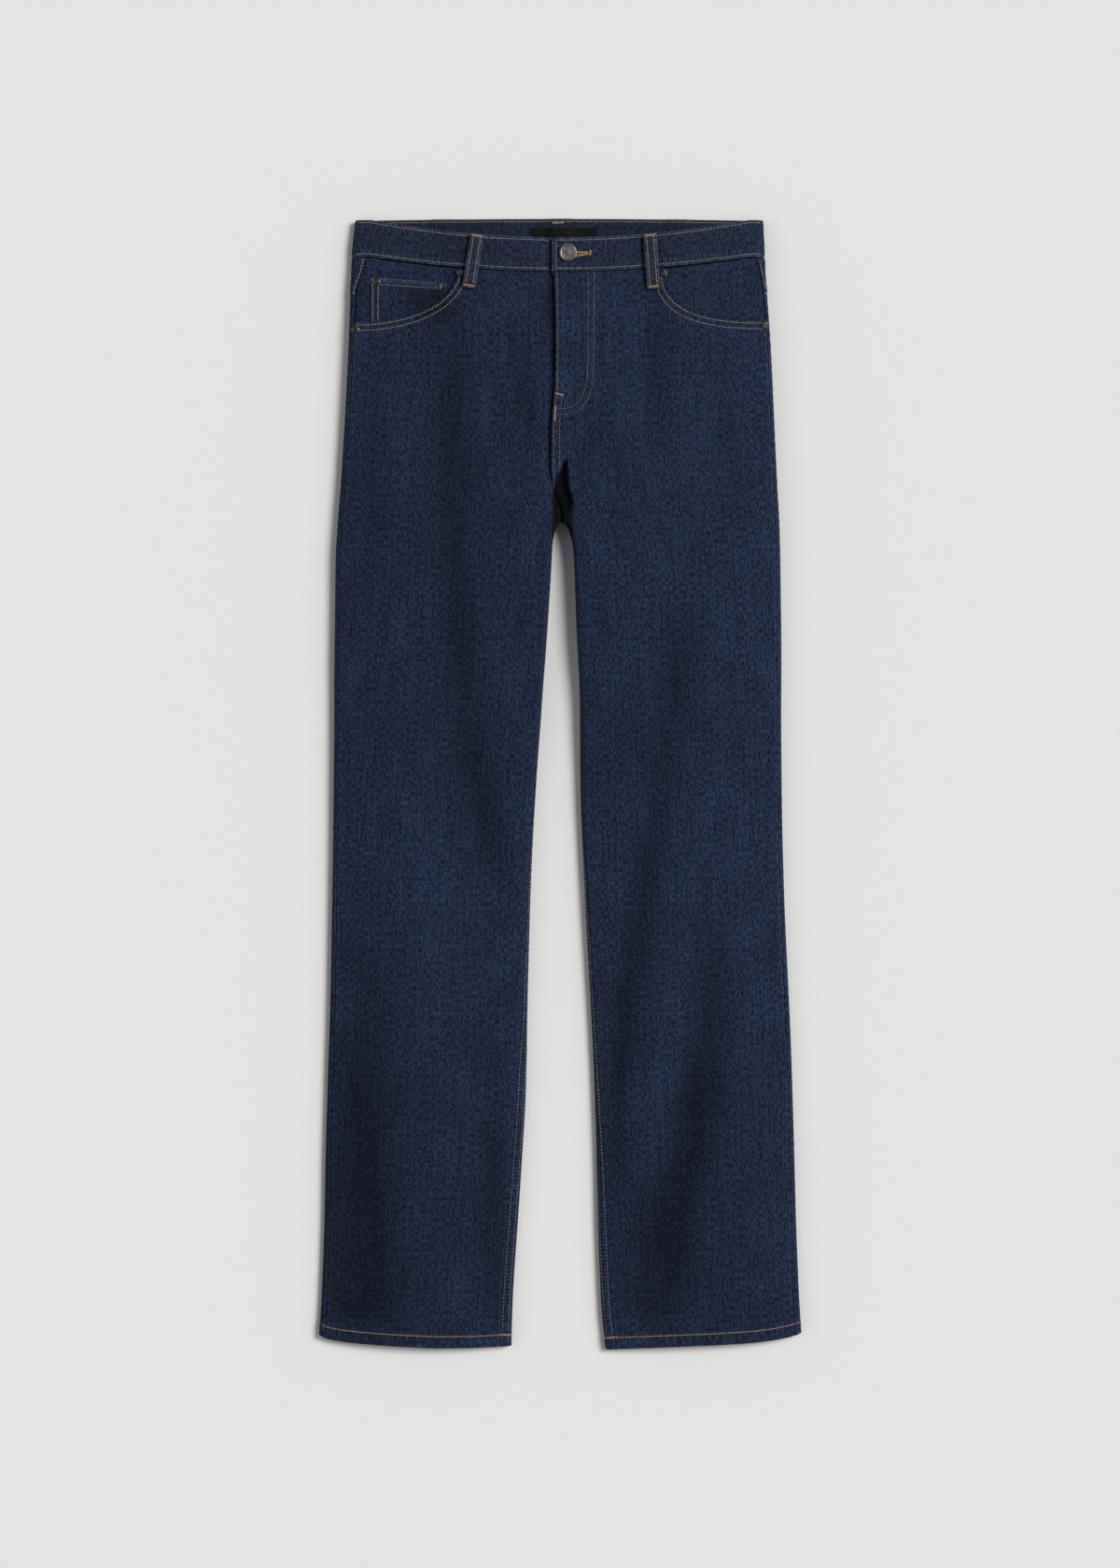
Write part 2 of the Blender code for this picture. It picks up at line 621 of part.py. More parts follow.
def mouth_cutter(name, side):
    """The part of the front that the scooped pocket mouth takes away, as an upright prism."""
    curve = bpy.data.curves.new(f"mouth_outline_{name}", "CURVE")
    curve.dimensions = "2D"
    curve.fill_mode = "BOTH"
    curve.extrude = 40 * MM
    beyond, above = MOUTH_CENTRE[side] + 25, MOUTH_TOP + 30
    outline = [(beyond, above), (beyond, MOUTH_TOP - MOUTH_DEPTH[side])]
    for step in range(13):
        turn = math.radians(90 - 7.5 * step)
        across = abs(math.cos(turn)) ** (2 / MOUTH_POWER[side])
        down = abs(math.sin(turn)) ** (2 / MOUTH_POWER[side])
        outline.append((MOUTH_CENTRE[side] - MOUTH_WIDTH[side] * across, MOUTH_TOP - MOUTH_DEPTH[side] * down))
    outline.append((MOUTH_CENTRE[side] - MOUTH_WIDTH[side], above))
    spline = curve.splines.new("POLY")
    spline.points.add(len(outline) - 1)
    for point, (reach, y) in zip(spline.points, outline):
        point.co = (side * reach * MM, y * MM, 0, 1)
    spline.use_cyclic_u = True
    drawn = bpy.data.objects.new(f"mouth_outline_{name}", curve)
    CUTTERS.objects.link(drawn)
    bpy.context.view_layer.update()
    mesh = bpy.data.meshes.new_from_object(drawn.evaluated_get(bpy.context.evaluated_depsgraph_get()))
    bpy.data.objects.remove(drawn)
    bm = bmesh.new()
    bm.from_mesh(mesh)
    bmesh.ops.remove_doubles(bm, verts=bm.verts, dist=1e-5)
    bmesh.ops.recalc_face_normals(bm, faces=bm.faces)
    bm.to_mesh(mesh)
    bm.free()
    cutter = bpy.data.objects.new(f"mouth_cutter_{name}", mesh)
    CUTTERS.objects.link(cutter)
    cutter.hide_render = True
    cutter.display_type = "WIRE"
    return cutter


def pocket_facing(name, side, depth):
    """The cloth seen through the pocket mouth, sewn in at the side seam and the waist seam."""
    rows = [PANEL_TOP - 0.7] + YOKE_ROWS[1:] + [YOKE_SEAM] + LEG_ROWS[:FACING_ROWS]
    stops = front_stops(side)[-FACING_STOPS:]
    return cloth(f"pocket_facing_{name}", side, rows, stops, place_front, DENIM, FACING_CLOTH, depth)


def coin_pocket(facing):
    """The small pocket on the right facing. Its foot runs under the front."""
    outer, inner = [], []
    for v in (0.0, 0.2, 0.5, 0.8, 1.0):
        low_row, top_row = [], []
        for u in (0.0, 0.15, 0.35, 0.55, 0.75, 0.9, 1.0):
            x = -(COIN["inner"] + (COIN["side"] - COIN["inner"]) * u)
            top = COIN["top_inner"] + (COIN["top_side"] - COIN["top_inner"]) * u
            y = COIN["foot"] + (top - COIN["foot"]) * v
            height, normal = seat([facing], x, y)
            base = Vector((x, y, height)) + normal * 2 * SEAM
            low_row.append(base)
            top_row.append(base + normal * COIN_CLOTH)
        inner.append(low_row)
        outer.append(top_row)
    return loft("coin_pocket", outer, inner, DENIM)


def flat_patch(name, outline, thickness, material):
    """A piece of cloth that lies flat on the surface under the garment."""
    bm = bmesh.new()
    verts = [bm.verts.new((x * MM, y * MM, 0)) for x, y in outline]
    face = bm.faces.new(verts)
    grown = bmesh.ops.extrude_face_region(bm, geom=[face])
    raised = [v for v in grown["geom"] if isinstance(v, bmesh.types.BMVert)]
    bmesh.ops.translate(bm, verts=raised, vec=(0, 0, thickness * MM))
    return mesh_object(name, bm, material)


def back_pocket(name, side):
    p = POCKET
    width = p["side"] - p["inner"]
    reach = [(p["inner"] + width * i / 6, p["top"]) for i in range(7)]
    reach += [(p["side"] - 4, p["corner"]), (p["side"] - width / 2, p["point"]), (p["inner"] + 4, p["corner"])]
    placed = [place_back(side, q, 0.0, y) for q, y in reach]
    return flat_patch(f"back_pocket_{name}", [(point.x, point.y) for point in placed], PATCH_CLOTH, DENIM)


# ---------------------------------------------------------------- waistband


def waistband_front(name, side):
    """Half of the waistband's front. It wraps round the side fold and ends underneath."""
    rows = [WAIST_SEAM, 534, 546, BAND_TOP]
    wrap = 14.0

    def inner(ring):
        return SEAM / 2 - BAND_TUCK if side == RIGHT else 0.0

    def end(ring):
        return ring.side_arc + wrap - SEAM / 2

    def place(side, q, z, y):
        here = place_band(side, q, z, y)
        beyond = q - side * FLY_X(y)
        if side == RIGHT and z > 5.0:
            here.z -= (BAND_CLOTH + SEAM + 0.15) * (1 - float(ease((beyond - 2) / FLY_BLEND)))
        if side == LEFT and z > 5.0:
            corner = 1 - float(quarter(beyond / BAND_CORNER))
            here.y -= BAND_CORNER * corner * (y - WAIST_SEAM) / (BAND_TOP - WAIST_SEAM)
        return here

    stops = spaced(inner, end, (0, 1, 2.5, 5, 12), (0, 4, 8, 12, 16, 20, 26), 8)
    if side == RIGHT:
        stops = spaced(inner, end, (0, 10, 27, 31, 37), (0, 4, 8, 12, 16, 20, 26), 7)
    return cloth(f"waistband_front_{name}", side, rows, stops, place, DENIM, BAND_CLOTH, 0.0, BAND_PROUD)


def waistband_back():
    """The back of the waistband, flat on the surface but for the belt loops under it."""
    rows = [WAIST_SEAM, 534, 546, BAND_TOP]
    half = [0.0, 7.5, 14, 60, 104, 110.5, 125.5, 132, 165]
    outer, inner = [], []
    for y in rows:
        ends = {}
        for side in (RIGHT, LEFT):
            ring = Ring(side, y, BAND_PROUD)
            ends[side] = side * (ring.at(ring.side_arc + 14.0)[0] - SEAM / 2)
        xs = [ends[RIGHT]] + [-x for x in reversed(half[1:])] + half + [ends[LEFT]]
        below = [place_band(RIGHT if x < 0 else LEFT, abs(x), 0.0, y) for x in xs]
        outer.append(below)
        inner.append([p + Vector((0, 0, BAND_CLOTH)) for p in below])
    return loft("waistband_back", outer, inner, DENIM)


def waist_label():
    """The woven label inside the back of the waistband, left bare."""
    half = LABEL["width"] / 2
    low, high = LABEL["x"] - half, LABEL["x"] + half
    stops = [low, -14, -7.5, 7.5, 14, high]
    top, foot = LABEL["top"], LABEL["foot"]
    outer, inner = [], []
    for y in (foot, top):
        base = [place_band(LEFT, x, 0.0, y) + Vector((0, 0, BAND_CLOTH + SEAM)) for x in stops]
        for point in base:
            point.y = y
        inner.append(base)
        outer.append([p + Vector((0, 0, LABEL["cloth"])) for p in base])
    return loft("waist_label", outer, inner, LABEL_CLOTH)


# ---------------------------------------------------------------- belt loops


def belt_loop_front(name, place, surfaces):
    """A folded strip over the waistband, tacked down at its top and just below the waist seam."""
    (x0, y0), (x1, y1) = place["top"], place["foot"]
    along = Vector((x1 - x0, y1 - y0, 0)).normalized()
    across = Vector((-along.y, along.x, 0))
    steps, half = 9, LOOP_WIDTH / 2

    def base(s, t):
        centre = Vector((x0 + (x1 - x0) * s, y0 + (y1 - y0) * s, 0))
        p = centre + across * t
        return Vector((p.x, p.y, max(seat(surfaces, p.x, p.y + dy)[0] for dy in (-1, 0, 1))))

    outer, inner = [], []
    for step in range(steps):
        s = step / (steps - 1)
        near = [s + d for d in (-0.12, -0.06, 0, 0.06, 0.12) if 0 <= s + d <= 1]
        under = max(base(a, t).z for a in near for t in (-half, 0, half))
        level = base(s, 0).z + 0.7 * (under - base(s, 0).z)
        bow = LOOP_BOW * math.sin(math.pi * s) ** 0.6 if 0 < s < 1 else 0.0
        low_row, top_row = [], []
        for t in (-1, -0.5, 0, 0.5, 1):
            low = base(s, t * half)
            low.z = max(low.z, level) + SEAM + bow
            low_row.append(low)
            top_row.append(low + Vector((0, 0, LOOP_CLOTH - 0.35 * t**4)))
        outer.append(top_row)
        inner.append(low_row)
    return loft(f"belt_loop_front_{name}", outer, inner, DENIM)


def belt_loop_back(name, x):
    half = LOOP_WIDTH / 2
    top, foot = BAND_TOP, place_back(LEFT, abs(x), 0.0, BACK_LOOP_FOOT).y
    outline = [(x - half, top), (x - half, foot), (x + half, foot), (x + half, top)]
    return flat_patch(f"belt_loop_{name}", outline, BACK_LOOP_CLOTH, DENIM)


# ---------------------------------------------------------------- metal


def turned(name, profile, location, axis, material, steps=20):
    """A turned piece: its profile is (radius, height) from the outside in at the top, down to the foot."""
    mesh = bpy.data.meshes.new(name)
    verts = [(r * MM, 0, h * MM) for r, h in profile]
    mesh.from_pydata(verts, [(i, i + 1) for i in range(len(verts) - 1)], [])
    mesh.materials.append(material)
    obj = bpy.data.objects.new(name, mesh)
    PARTS.objects.link(obj)
    obj.location = Vector(location) * MM
    obj.rotation_mode = "QUATERNION"
    obj.rotation_quaternion = Vector((0, 0, 1)).rotation_difference(Vector(axis))
    screw = obj.modifiers.new("turn", "SCREW")
    screw.steps = screw.render_steps = steps
    screw.use_merge_vertices = True
    screw.merge_threshold = 0.00002
    return obj


def waist_button(band):
    b = BUTTON
    radius, height = b["radius"], b["height"]
    level = max(seat([band], b["x"] + dx, b["y"] + dy)[0] for dx in (-4, 0, 4) for dy in (-4, 0, 4))
    low = 0.35 * height
    profile = [
        (0, height * 0.86), (radius * 0.8, height * 0.86), (radius * 0.86, height), (radius * 0.95, height * 0.97),
        (radius, height * 0.8), (radius * 0.98, low + 0.2), (radius * 0.9, low), (b["shank"], low),
        (b["shank"], 0), (0, 0),
    ]  # fmt: skip
    return turned("waist_button", profile, (b["x"], b["y"], level + SEAM), (0, 0, 1), METAL, 28)


def rivet(row, surface):
    """A domed rivet on the skin of a piece, square to it."""
    reach = 0.7 * RIVET_RADIUS
    around = [(row.x + dx, row.y + dy) for dx in (-reach, 0, reach) for dy in (-reach, 0, reach)]
    normal = sum((seat([surface], x, y)[1] for x, y in around), Vector()).normalized()
    centre = Vector((row.x, row.y, seat([surface], row.x, row.y)[0]))
    highest = max((Vector((x, y, seat([surface], x, y)[0])) - centre).dot(normal) for x, y in around)
    r, h = RIVET_RADIUS, RIVET_HEIGHT
    profile = [(0, h * 0.8), (r * 0.22, h * 0.8), (r * 0.34, h), (r * 0.6, h * 0.92), (r * 0.88, h * 0.62)]
    profile += [(r, h * 0.25), (r, 0), (0, 0)]
    return turned(row.name, profile, centre + normal * (highest + SEAM), normal, METAL, 16)


# ---------------------------------------------------------------- scene


def new_material(name, colour, roughness, metallic=0.0):
    material = bpy.data.materials.new(name)
    material.use_nodes = True
    shader = material.node_tree.nodes["Principled BSDF"]
    shader.inputs["Base Color"].default_value = (*colour, 1)
    shader.inputs["Roughness"].default_value = roughness
    shader.inputs["Metallic"].default_value = metallic
    material.diffuse_color = (*colour, 1)
    return material


for old in list(bpy.data.objects):
    bpy.data.objects.remove(old, do_unlink=True)
PARTS = bpy.data.collections.new("jeans")
CUTTERS = bpy.data.collections.new("cutters")
for collection in (PARTS, CUTTERS):
    bpy.context.scene.collection.children.link(collection)
DENIM = new_material("indigo denim", (0.013, 0.019, 0.042), 0.85)
LABEL_CLOTH = new_material("black woven label", (0.008, 0.008, 0.009), 0.7)
METAL = new_material("antique nickel", (0.23, 0.21, 0.19), 0.42, 1.0)

skins = {}
for side_name, side_sign in SIDES.items():
    skins["leg_" + side_name] = surface_of(front_leg(side_name, side_sign))
    back_leg(side_name, side_sign)
    back_yoke(side_name, side_sign)
    back_pocket(side_name, side_sign)
    skins["band_" + side_name] = surface_of(waistband_front(side_name, side_sign))
skins["facing"] = surface_of(pocket_facing("right", RIGHT, FACING_DEPTH + COIN_CLOTH + 2 * SEAM))
pocket_facing("left", LEFT, FACING_DEPTH)
skins["coin"] = surface_of(coin_pocket(skins["facing"]))
waistband_back()
waist_label()
for loop_name, loop_place in FRONT_LOOPS.items():
    belt_loop_front(loop_name, loop_place, [skins["leg_" + loop_name], skins["band_" + loop_name]])
for loop_name, loop_x in BACK_LOOPS.items():
    belt_loop_back(loop_name, loop_x)
waist_button(skins["band_left"])
for rivet_row in RIVETS:
    rivet(rivet_row, skins[rivet_row.on])
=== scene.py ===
# Bootcut jeans laid flat, front uppermost, seen from straight above.
# X runs to the wearer's left, Y up the garment and Z up from the floor. The sizes below are in
# millimetres and become metres as the meshes are made.

import math

import bmesh
import bpy
import numpy as np
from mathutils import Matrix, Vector
from mathutils.bvhtree import BVHTree


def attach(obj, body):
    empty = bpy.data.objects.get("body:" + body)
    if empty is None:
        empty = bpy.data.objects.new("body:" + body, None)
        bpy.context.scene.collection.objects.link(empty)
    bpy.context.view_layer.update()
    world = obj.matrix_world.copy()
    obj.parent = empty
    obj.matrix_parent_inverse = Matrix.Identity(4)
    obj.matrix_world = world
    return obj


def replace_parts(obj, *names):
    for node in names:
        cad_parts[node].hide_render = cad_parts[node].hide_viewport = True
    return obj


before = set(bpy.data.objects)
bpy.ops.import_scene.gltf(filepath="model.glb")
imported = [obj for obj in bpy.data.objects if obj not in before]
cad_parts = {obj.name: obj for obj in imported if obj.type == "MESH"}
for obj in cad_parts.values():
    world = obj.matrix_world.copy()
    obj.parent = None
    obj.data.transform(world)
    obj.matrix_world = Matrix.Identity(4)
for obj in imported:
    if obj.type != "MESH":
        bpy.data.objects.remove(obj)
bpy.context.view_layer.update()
print("frame loaded:", len(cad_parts), "nodes")

mm = 0.001
right, left = -1, 1
sideNames = {right: "right", left: "left"}

# ---- the form of the garment ----

garment = {
    "cloth": 1.2,
    "seam": 0.3,
    "waistSeam": 522.0,
    "panelTop": 521.2,
    "bandTop": 558.5,
    "backRise": 2.0,
    "seamDip": 15.0,
    "topDip": 18.0,
    "dipHalf": 187.0,
    "yokeSeam": 484.0,
    "yokeDrop": 32.0,
    "yokeHalf": 194.0,
    "crotch": 258.7,
    "crotchX": 1.8,
    "valleyTop": 316.0,
    "seatRise": 35.0,
    "web": 24.0,
    "hemFoot": {right: -556.9, left: -560.5},
}

# Each column gives a width or a height at the rows' y, from the hems up
outline = {
    "y": [-570, -517, -444, -370, -296, -222, -111, 0, 74, 148, 222, 259, 296, 370, 441, 508, 570],
    "rightSide": [239.4, 236, 233.5, 232, 230, 227.5, 225.5, 224, 223.5, 223, 222, 219.9, 217, 212.5, 209, 207, 201.5],
    "leftSide": [239.3, 236.5, 234, 232, 230, 227, 222, 219.5, 219, 219, 218, 217, 215, 211.5, 208, 203.5, 200.5],
    "rightInner": [48.8, 47, 42.5, 37.5, 33.5, 32.5, 29.6, 24, 18.5, 13, 8.5, 7.2, 7.2, 7.2, 7.2, 7.2, 7.2],
    "leftInner": [46.8, 41, 38, 36.5, 34.3, 31, 25, 20.5, 20, 16.8, 14, 11, 11, 11, 11, 11, 11],
    "crown": [12.5, 12.3, 12.4, 12.7, 13.2, 13.5, 14.5, 16, 17, 18.5, 20, 21, 21.5, 21.5, 20.5, 17, 14.5],
    "sideFold": [6.6, 6.5, 6.5, 6.7, 7.0, 7.4, 8.2, 9.2, 9.8, 10.4, 10.8, 11, 11.2, 11.4, 11, 9.4, 7.8],
    "innerFold": [6.6, 6.5, 6.4, 6.6, 7.0, 7.6, 8.6, 10.5, 14, 17.2, 19.4, 20.2, 20.2, 18, 15, 12, 12],
}
seamLines = {
    "y": [-570, -444, -296, -222, -111, -18, 80, 300, 441, 483, 495, 508, 524, 570],
    "rightSide": [5.5, 5, 4.6, 4.4, 4.2, 4.2, 4.2, 4.2, 4.6, 4.8, 7, 11.4, 13.5, 15],
    "leftSide": [6.5, 5, 4.4, 4.2, 4, 4, 4, 3.6, 2.6, 2.7, 3.2, 5.5, 8, 9],
    "rightInner": [11.5, 10.5, 9, 5, 2.8, 1.4, 0, 0, 0, 0, 0, 0, 0, 0],
    "leftInner": [10.2, 9.2, 4.9, 3.6, 2.5, 0.6, 0, 0, 0, 0, 0, 0, 0, 0],
}
flyLine = {
    "y": [258.7, 268, 278, 288, 298, 312, 332, 354, 368, 384, 400, 433, 471, 500, 518.5, 522, 570],
    "x": [1.8, 1.3, -1.2, -5.0, -7.6, -8.3, -8.3, -8.3, -7.3, -5.6, -4.5, -4.2, -4.4, -5.0, -5.6, -8.2, -8.4],
}
# How far the foot of each hem lies above its inner corner, out along the hem
hemLine = {
    "across": [-0.2, 0, 0.2, 0.4, 0.57, 0.76, 0.865, 0.94, 0.975, 1.0, 1.2],
    "right": [0, 0, -1.6, -1.7, -0.2, 2.2, 4.1, 6.3, 8.0, 10.6, 12.0],
    "left": [0, 0, 1.9, 3.6, 5.0, 7.2, 9.6, 12.4, 14.2, 16.2, 17.0],
}

innerRounds = {
    "y": [-570, 0, 150, 222, 242, 259, 292, 316, 330, 570],
    "width": [4.6, 5, 3.6, 3.4, 3.8, 5, 6, 3, 1.5, 1.5],
}

# The deep valley where the legs part, between its two sides' x: the fronts sink there and are painted nearly black as
# painted shade
valley = {
    "y": [240, 280, 286, 290, 297, 305, 312, 320, 326],
    "right": [-8.0, -8.0, -8.2, -7.0, -5.5, -3.0, 0.6, 4.0, 6.0],
    "left": [12.6, 12.6, 12.0, 10.0, 7.8, 7.2, 6.8, 6.4, 6.0],
}

# Long folds of the fronts: ends, half width, height
folds = [
    (-111, 530, -109, 150, 15, -2.6),
    (-111, 290, -90, -10, 18, -2.9),
    (-101, 90, -53, -150, 20, -3.7),
    (-86, 490, -64, 230, 10, 1.2),
    (-188, -60, -200, -620, 28, -2.6),
    (-212, -230, -206, -680, 30, -2.4),
    (-74, -180, -66, -600, 13, -1.9),
    (-150, 60, -120, -330, 26, 1.2),
    (-50, 470, -24, 290, 10, -1.8),
    (-186, 470, -190, 200, 13, -1.0),
    (-156, 440, -163, 180, 18, 1.0),
    (134, 215, 86, -40, 17, -2.6),
    (99, 50, 56, -300, 16, -3.2),
    (64, -140, 44, -460, 12, -3.2),
    (171, -40, 126, -400, 20, -2.9),
    (150, -230, 74, -620, 26, -4.6),
    (112, -130, 84, -440, 17, 1.6),
    (92, 530, 92, 310, 14, -2.5),
    (68, 490, 74, 335, 10, 1.1),
    (148, 450, 176, 235, 14, -1.3),
    (196, 330, 178, 120, 15, 1.0),
    (150, 60, 187, -330, 26, 1.4),
    (8, 306, 46, 366, 7, -1.3),
]

# Small creases that only show close by
creases = [
    (-30, 330, -75, 352, 5, -0.5),
    (-22, 300, -70, 292, 5, -0.55),
    (-26, 268, -95, 240, 6, -0.6),
    (14, 300, 60, 318, 5, -0.55),
    (20, 272, 80, 262, 5, -0.5),
    (24, 246, 90, 214, 6, -0.6),
    (-205, 330, -160, 318, 6, -0.5),
    (-208, 250, -150, 262, 7, -0.5),
    (206, 300, 168, 290, 6, -0.5),
    (208, 180, 160, 196, 7, -0.45),
    (-205, 60, -150, 44, 8, -0.5),
    (-84, -118, -46, -164, 6, -1.0),
    (-88, -98, -44, -132, 5, 0.6),
    (-50, -10, -110, -34, 8, -0.5),
    (40, 40, 95, 22, 8, -0.5),
    (206, 10, 150, -14, 8, -0.45),
    (52, -50, 110, -70, 8, -0.4),
    (-212, -250, -170, -262, 8, -0.35),
    (214, -250, 170, -240, 8, -0.35),
    (50, 470, 58, 380, 9, 0.5),
    (-160, 500, -150, 360, 10, 0.45),
    (150, 500, 160, 370, 10, -0.45),
]

# Where the cloth is painted darker or paler: painted shadow beside the fly's edge and in the coin pocket's hollow,
# paler and darker patches and streaks on the fly, and broad darker and paler patches elsewhere; centre, reach across,
# reach along, share
paintedShadeAndTone = [
    (-130, 0, 110, 420, -0.05),
    (-190, -500, 55, 130, -0.24),
    (-210, -320, 24, 150, -0.12),
    (-70, -470, 22, 130, -0.08),
    (95, -480, 30, 70, -0.14),
    (130, 330, 90, 190, 0.06),
    (14, 462, 12, 20, 0.2),
    (2.3, 462, 1.8, 20, 0.3),
    (9.6, 462, 2.0, 22, 0.36),
    (16, 458, 1.8, 16, 0.24),
    (10, 428, 13, 12, -0.12),
    (9, 398, 11, 13, 0.16),
    (2.3, 395, 2.2, 10, 0.3),
    (9.5, 395, 2.2, 11, 0.24),
    # painted shadow beside the fly's edge, on the front that lies under it
    (-10.5, 486, 4.5, 34, -0.6),
    (-8.5, 430, 3.0, 60, -0.4),
    # painted shade in the hollow of the coin pocket near its inner end
    (-130, 476, 24, 15, -0.62),
    (150, 500, 40, 12, -0.1),
    (-80, 300, 70, 170, -0.1),
    (-110, -430, 120, 150, -0.07),
    (160, -440, 110, 150, -0.11),
]


def quarter(t):
    t = np.clip(t, 0.0, 1.0)
    return np.sqrt(1.0 - (1.0 - t) ** 2)


def ease(t):
    t = np.clip(t, 0.0, 1.0)
    return t * t * (3.0 - 2.0 * t)


def bump(t, width):
    return np.exp(-((t / width) ** 2))


def smoothTable(table, column):
    # passes through the column's values without overshooting them
    ys, values = np.array(table["y"], float), np.array(table[column], float)
    rates = np.diff(values) / np.diff(ys)
    slopes = np.concatenate([rates[:1], np.zeros(len(ys) - 2), rates[-1:]])
    for i, (before, after) in enumerate(zip(rates, rates[1:]), start=1):
        if before * after > 0:
            slopes[i] = 2 * before * after / (before + after)

    def at(y):
        k = int(np.clip(np.searchsorted(ys, y) - 1, 0, len(ys) - 2))
        span = ys[k + 1] - ys[k]
        t = min(max((y - ys[k]) / span, 0.0), 1.0)
        blend = t * t * (3 - 2 * t)
        start = t * (1 - t) ** 2 * span * slopes[k]
        end = t * t * (t - 1) * span * slopes[k + 1]
        return values[k] * (1 - blend) + values[k + 1] * blend + start + end

    return at


sideEdge = {right: smoothTable(outline, "rightSide"), left: smoothTable(outline, "leftSide")}
innerEdge = {right: smoothTable(outline, "rightInner"), left: smoothTable(outline, "leftInner")}
crownAt = smoothTable(outline, "crown")
sideFoldAt = smoothTable(outline, "sideFold")
innerFoldAt = smoothTable(outline, "innerFold")
innerRoundAt = smoothTable(innerRounds, "width")
sideSeamAt = {right: smoothTable(seamLines, "rightSide"), left: smoothTable(seamLines, "leftSide")}
inseamAt = {right: smoothTable(seamLines, "rightInner"), left: smoothTable(seamLines, "leftInner")}
flyX = smoothTable(flyLine, "x")


def foldHeight(x, y, rows):
    total = np.zeros(np.broadcast(x, y).shape)
    for x0, y0, x1, y1, half, height in rows:
        length = math.hypot(x1 - x0, y1 - y0)
        ax, ay = (x1 - x0) / length, (y1 - y0) / length
        run = ((x - x0) * ax + (y - y0) * ay) / length
        across = ((x - x0) * ay - (y - y0) * ax) / half
        total = total + height * np.exp(-across * across) * np.sin(np.pi * np.clip(run, 0, 1)) ** 1.4
    return total * ease((y + 546) / 24)


def shadeAt(x, y):
    # painted shade: the hollows of the folds and creases are painted darker and their ridges paler, the listed patches
    # add painted shadow and tone, and the valley where the legs part is painted nearly black
    shade = 1 + 0.12 * foldHeight(x, y, folds) + 0.12 * foldHeight(x, y, creases)
    for x0, y0, across, along, share in paintedShadeAndTone:
        shade = shade + share * np.exp(-(((x - x0) / across) ** 2) - ((y - y0) / along) ** 2)
    return np.clip(shade, 0.45, 1.35) * (1 - 0.93 * inValley(x, y))


# how far a point lies within the crotch valley, where the cloth sinks and is painted nearly black as painted shade
def inValley(x, y):
    low, high = np.interp(y, valley["y"], valley["right"]), np.interp(y, valley["y"], valley["left"])
    across = ease((x - low) / 2.4 + 0.4) * ease((high - x) / 2.4 + 0.4)
    return across * ease((326 - y) / 10)


def patchNoise(x, y, seed):
    # smooth noise from 0 to 1, with one hill or hollow a unit
    xi, yi = np.floor(x), np.floor(y)
    fx, fy = ease(x - xi), ease(y - yi)

    def corner(i, j):
        value = np.sin((xi + i) * 127.1 + (yi + j) * 311.7 + seed * 74.7) * 43758.5453
        return value - np.floor(value)

    low = corner(0, 0) * (1 - fx) + corner(1, 0) * fx
    high = corner(0, 1) * (1 - fx) + corner(1, 1) * fx
    return low * (1 - fy) + high * fy


def ripple(t, pitch, seed):
    # the uneven waves that sewing draws up along a seam, from -1 to 1
    drift = 1.6 * patchNoise(t / (3.1 * pitch), 0.5 + 0 * t, seed)
    size = 0.35 + 0.65 * patchNoise(t / (2.3 * pitch), 3.5 + 0 * t, seed + 5)
    return size * np.sin(2 * np.pi * (t / pitch + drift))


def centreBack(y):
    return garment["crotchX"] * (1 - float(ease((y - garment["crotch"]) / 60)))


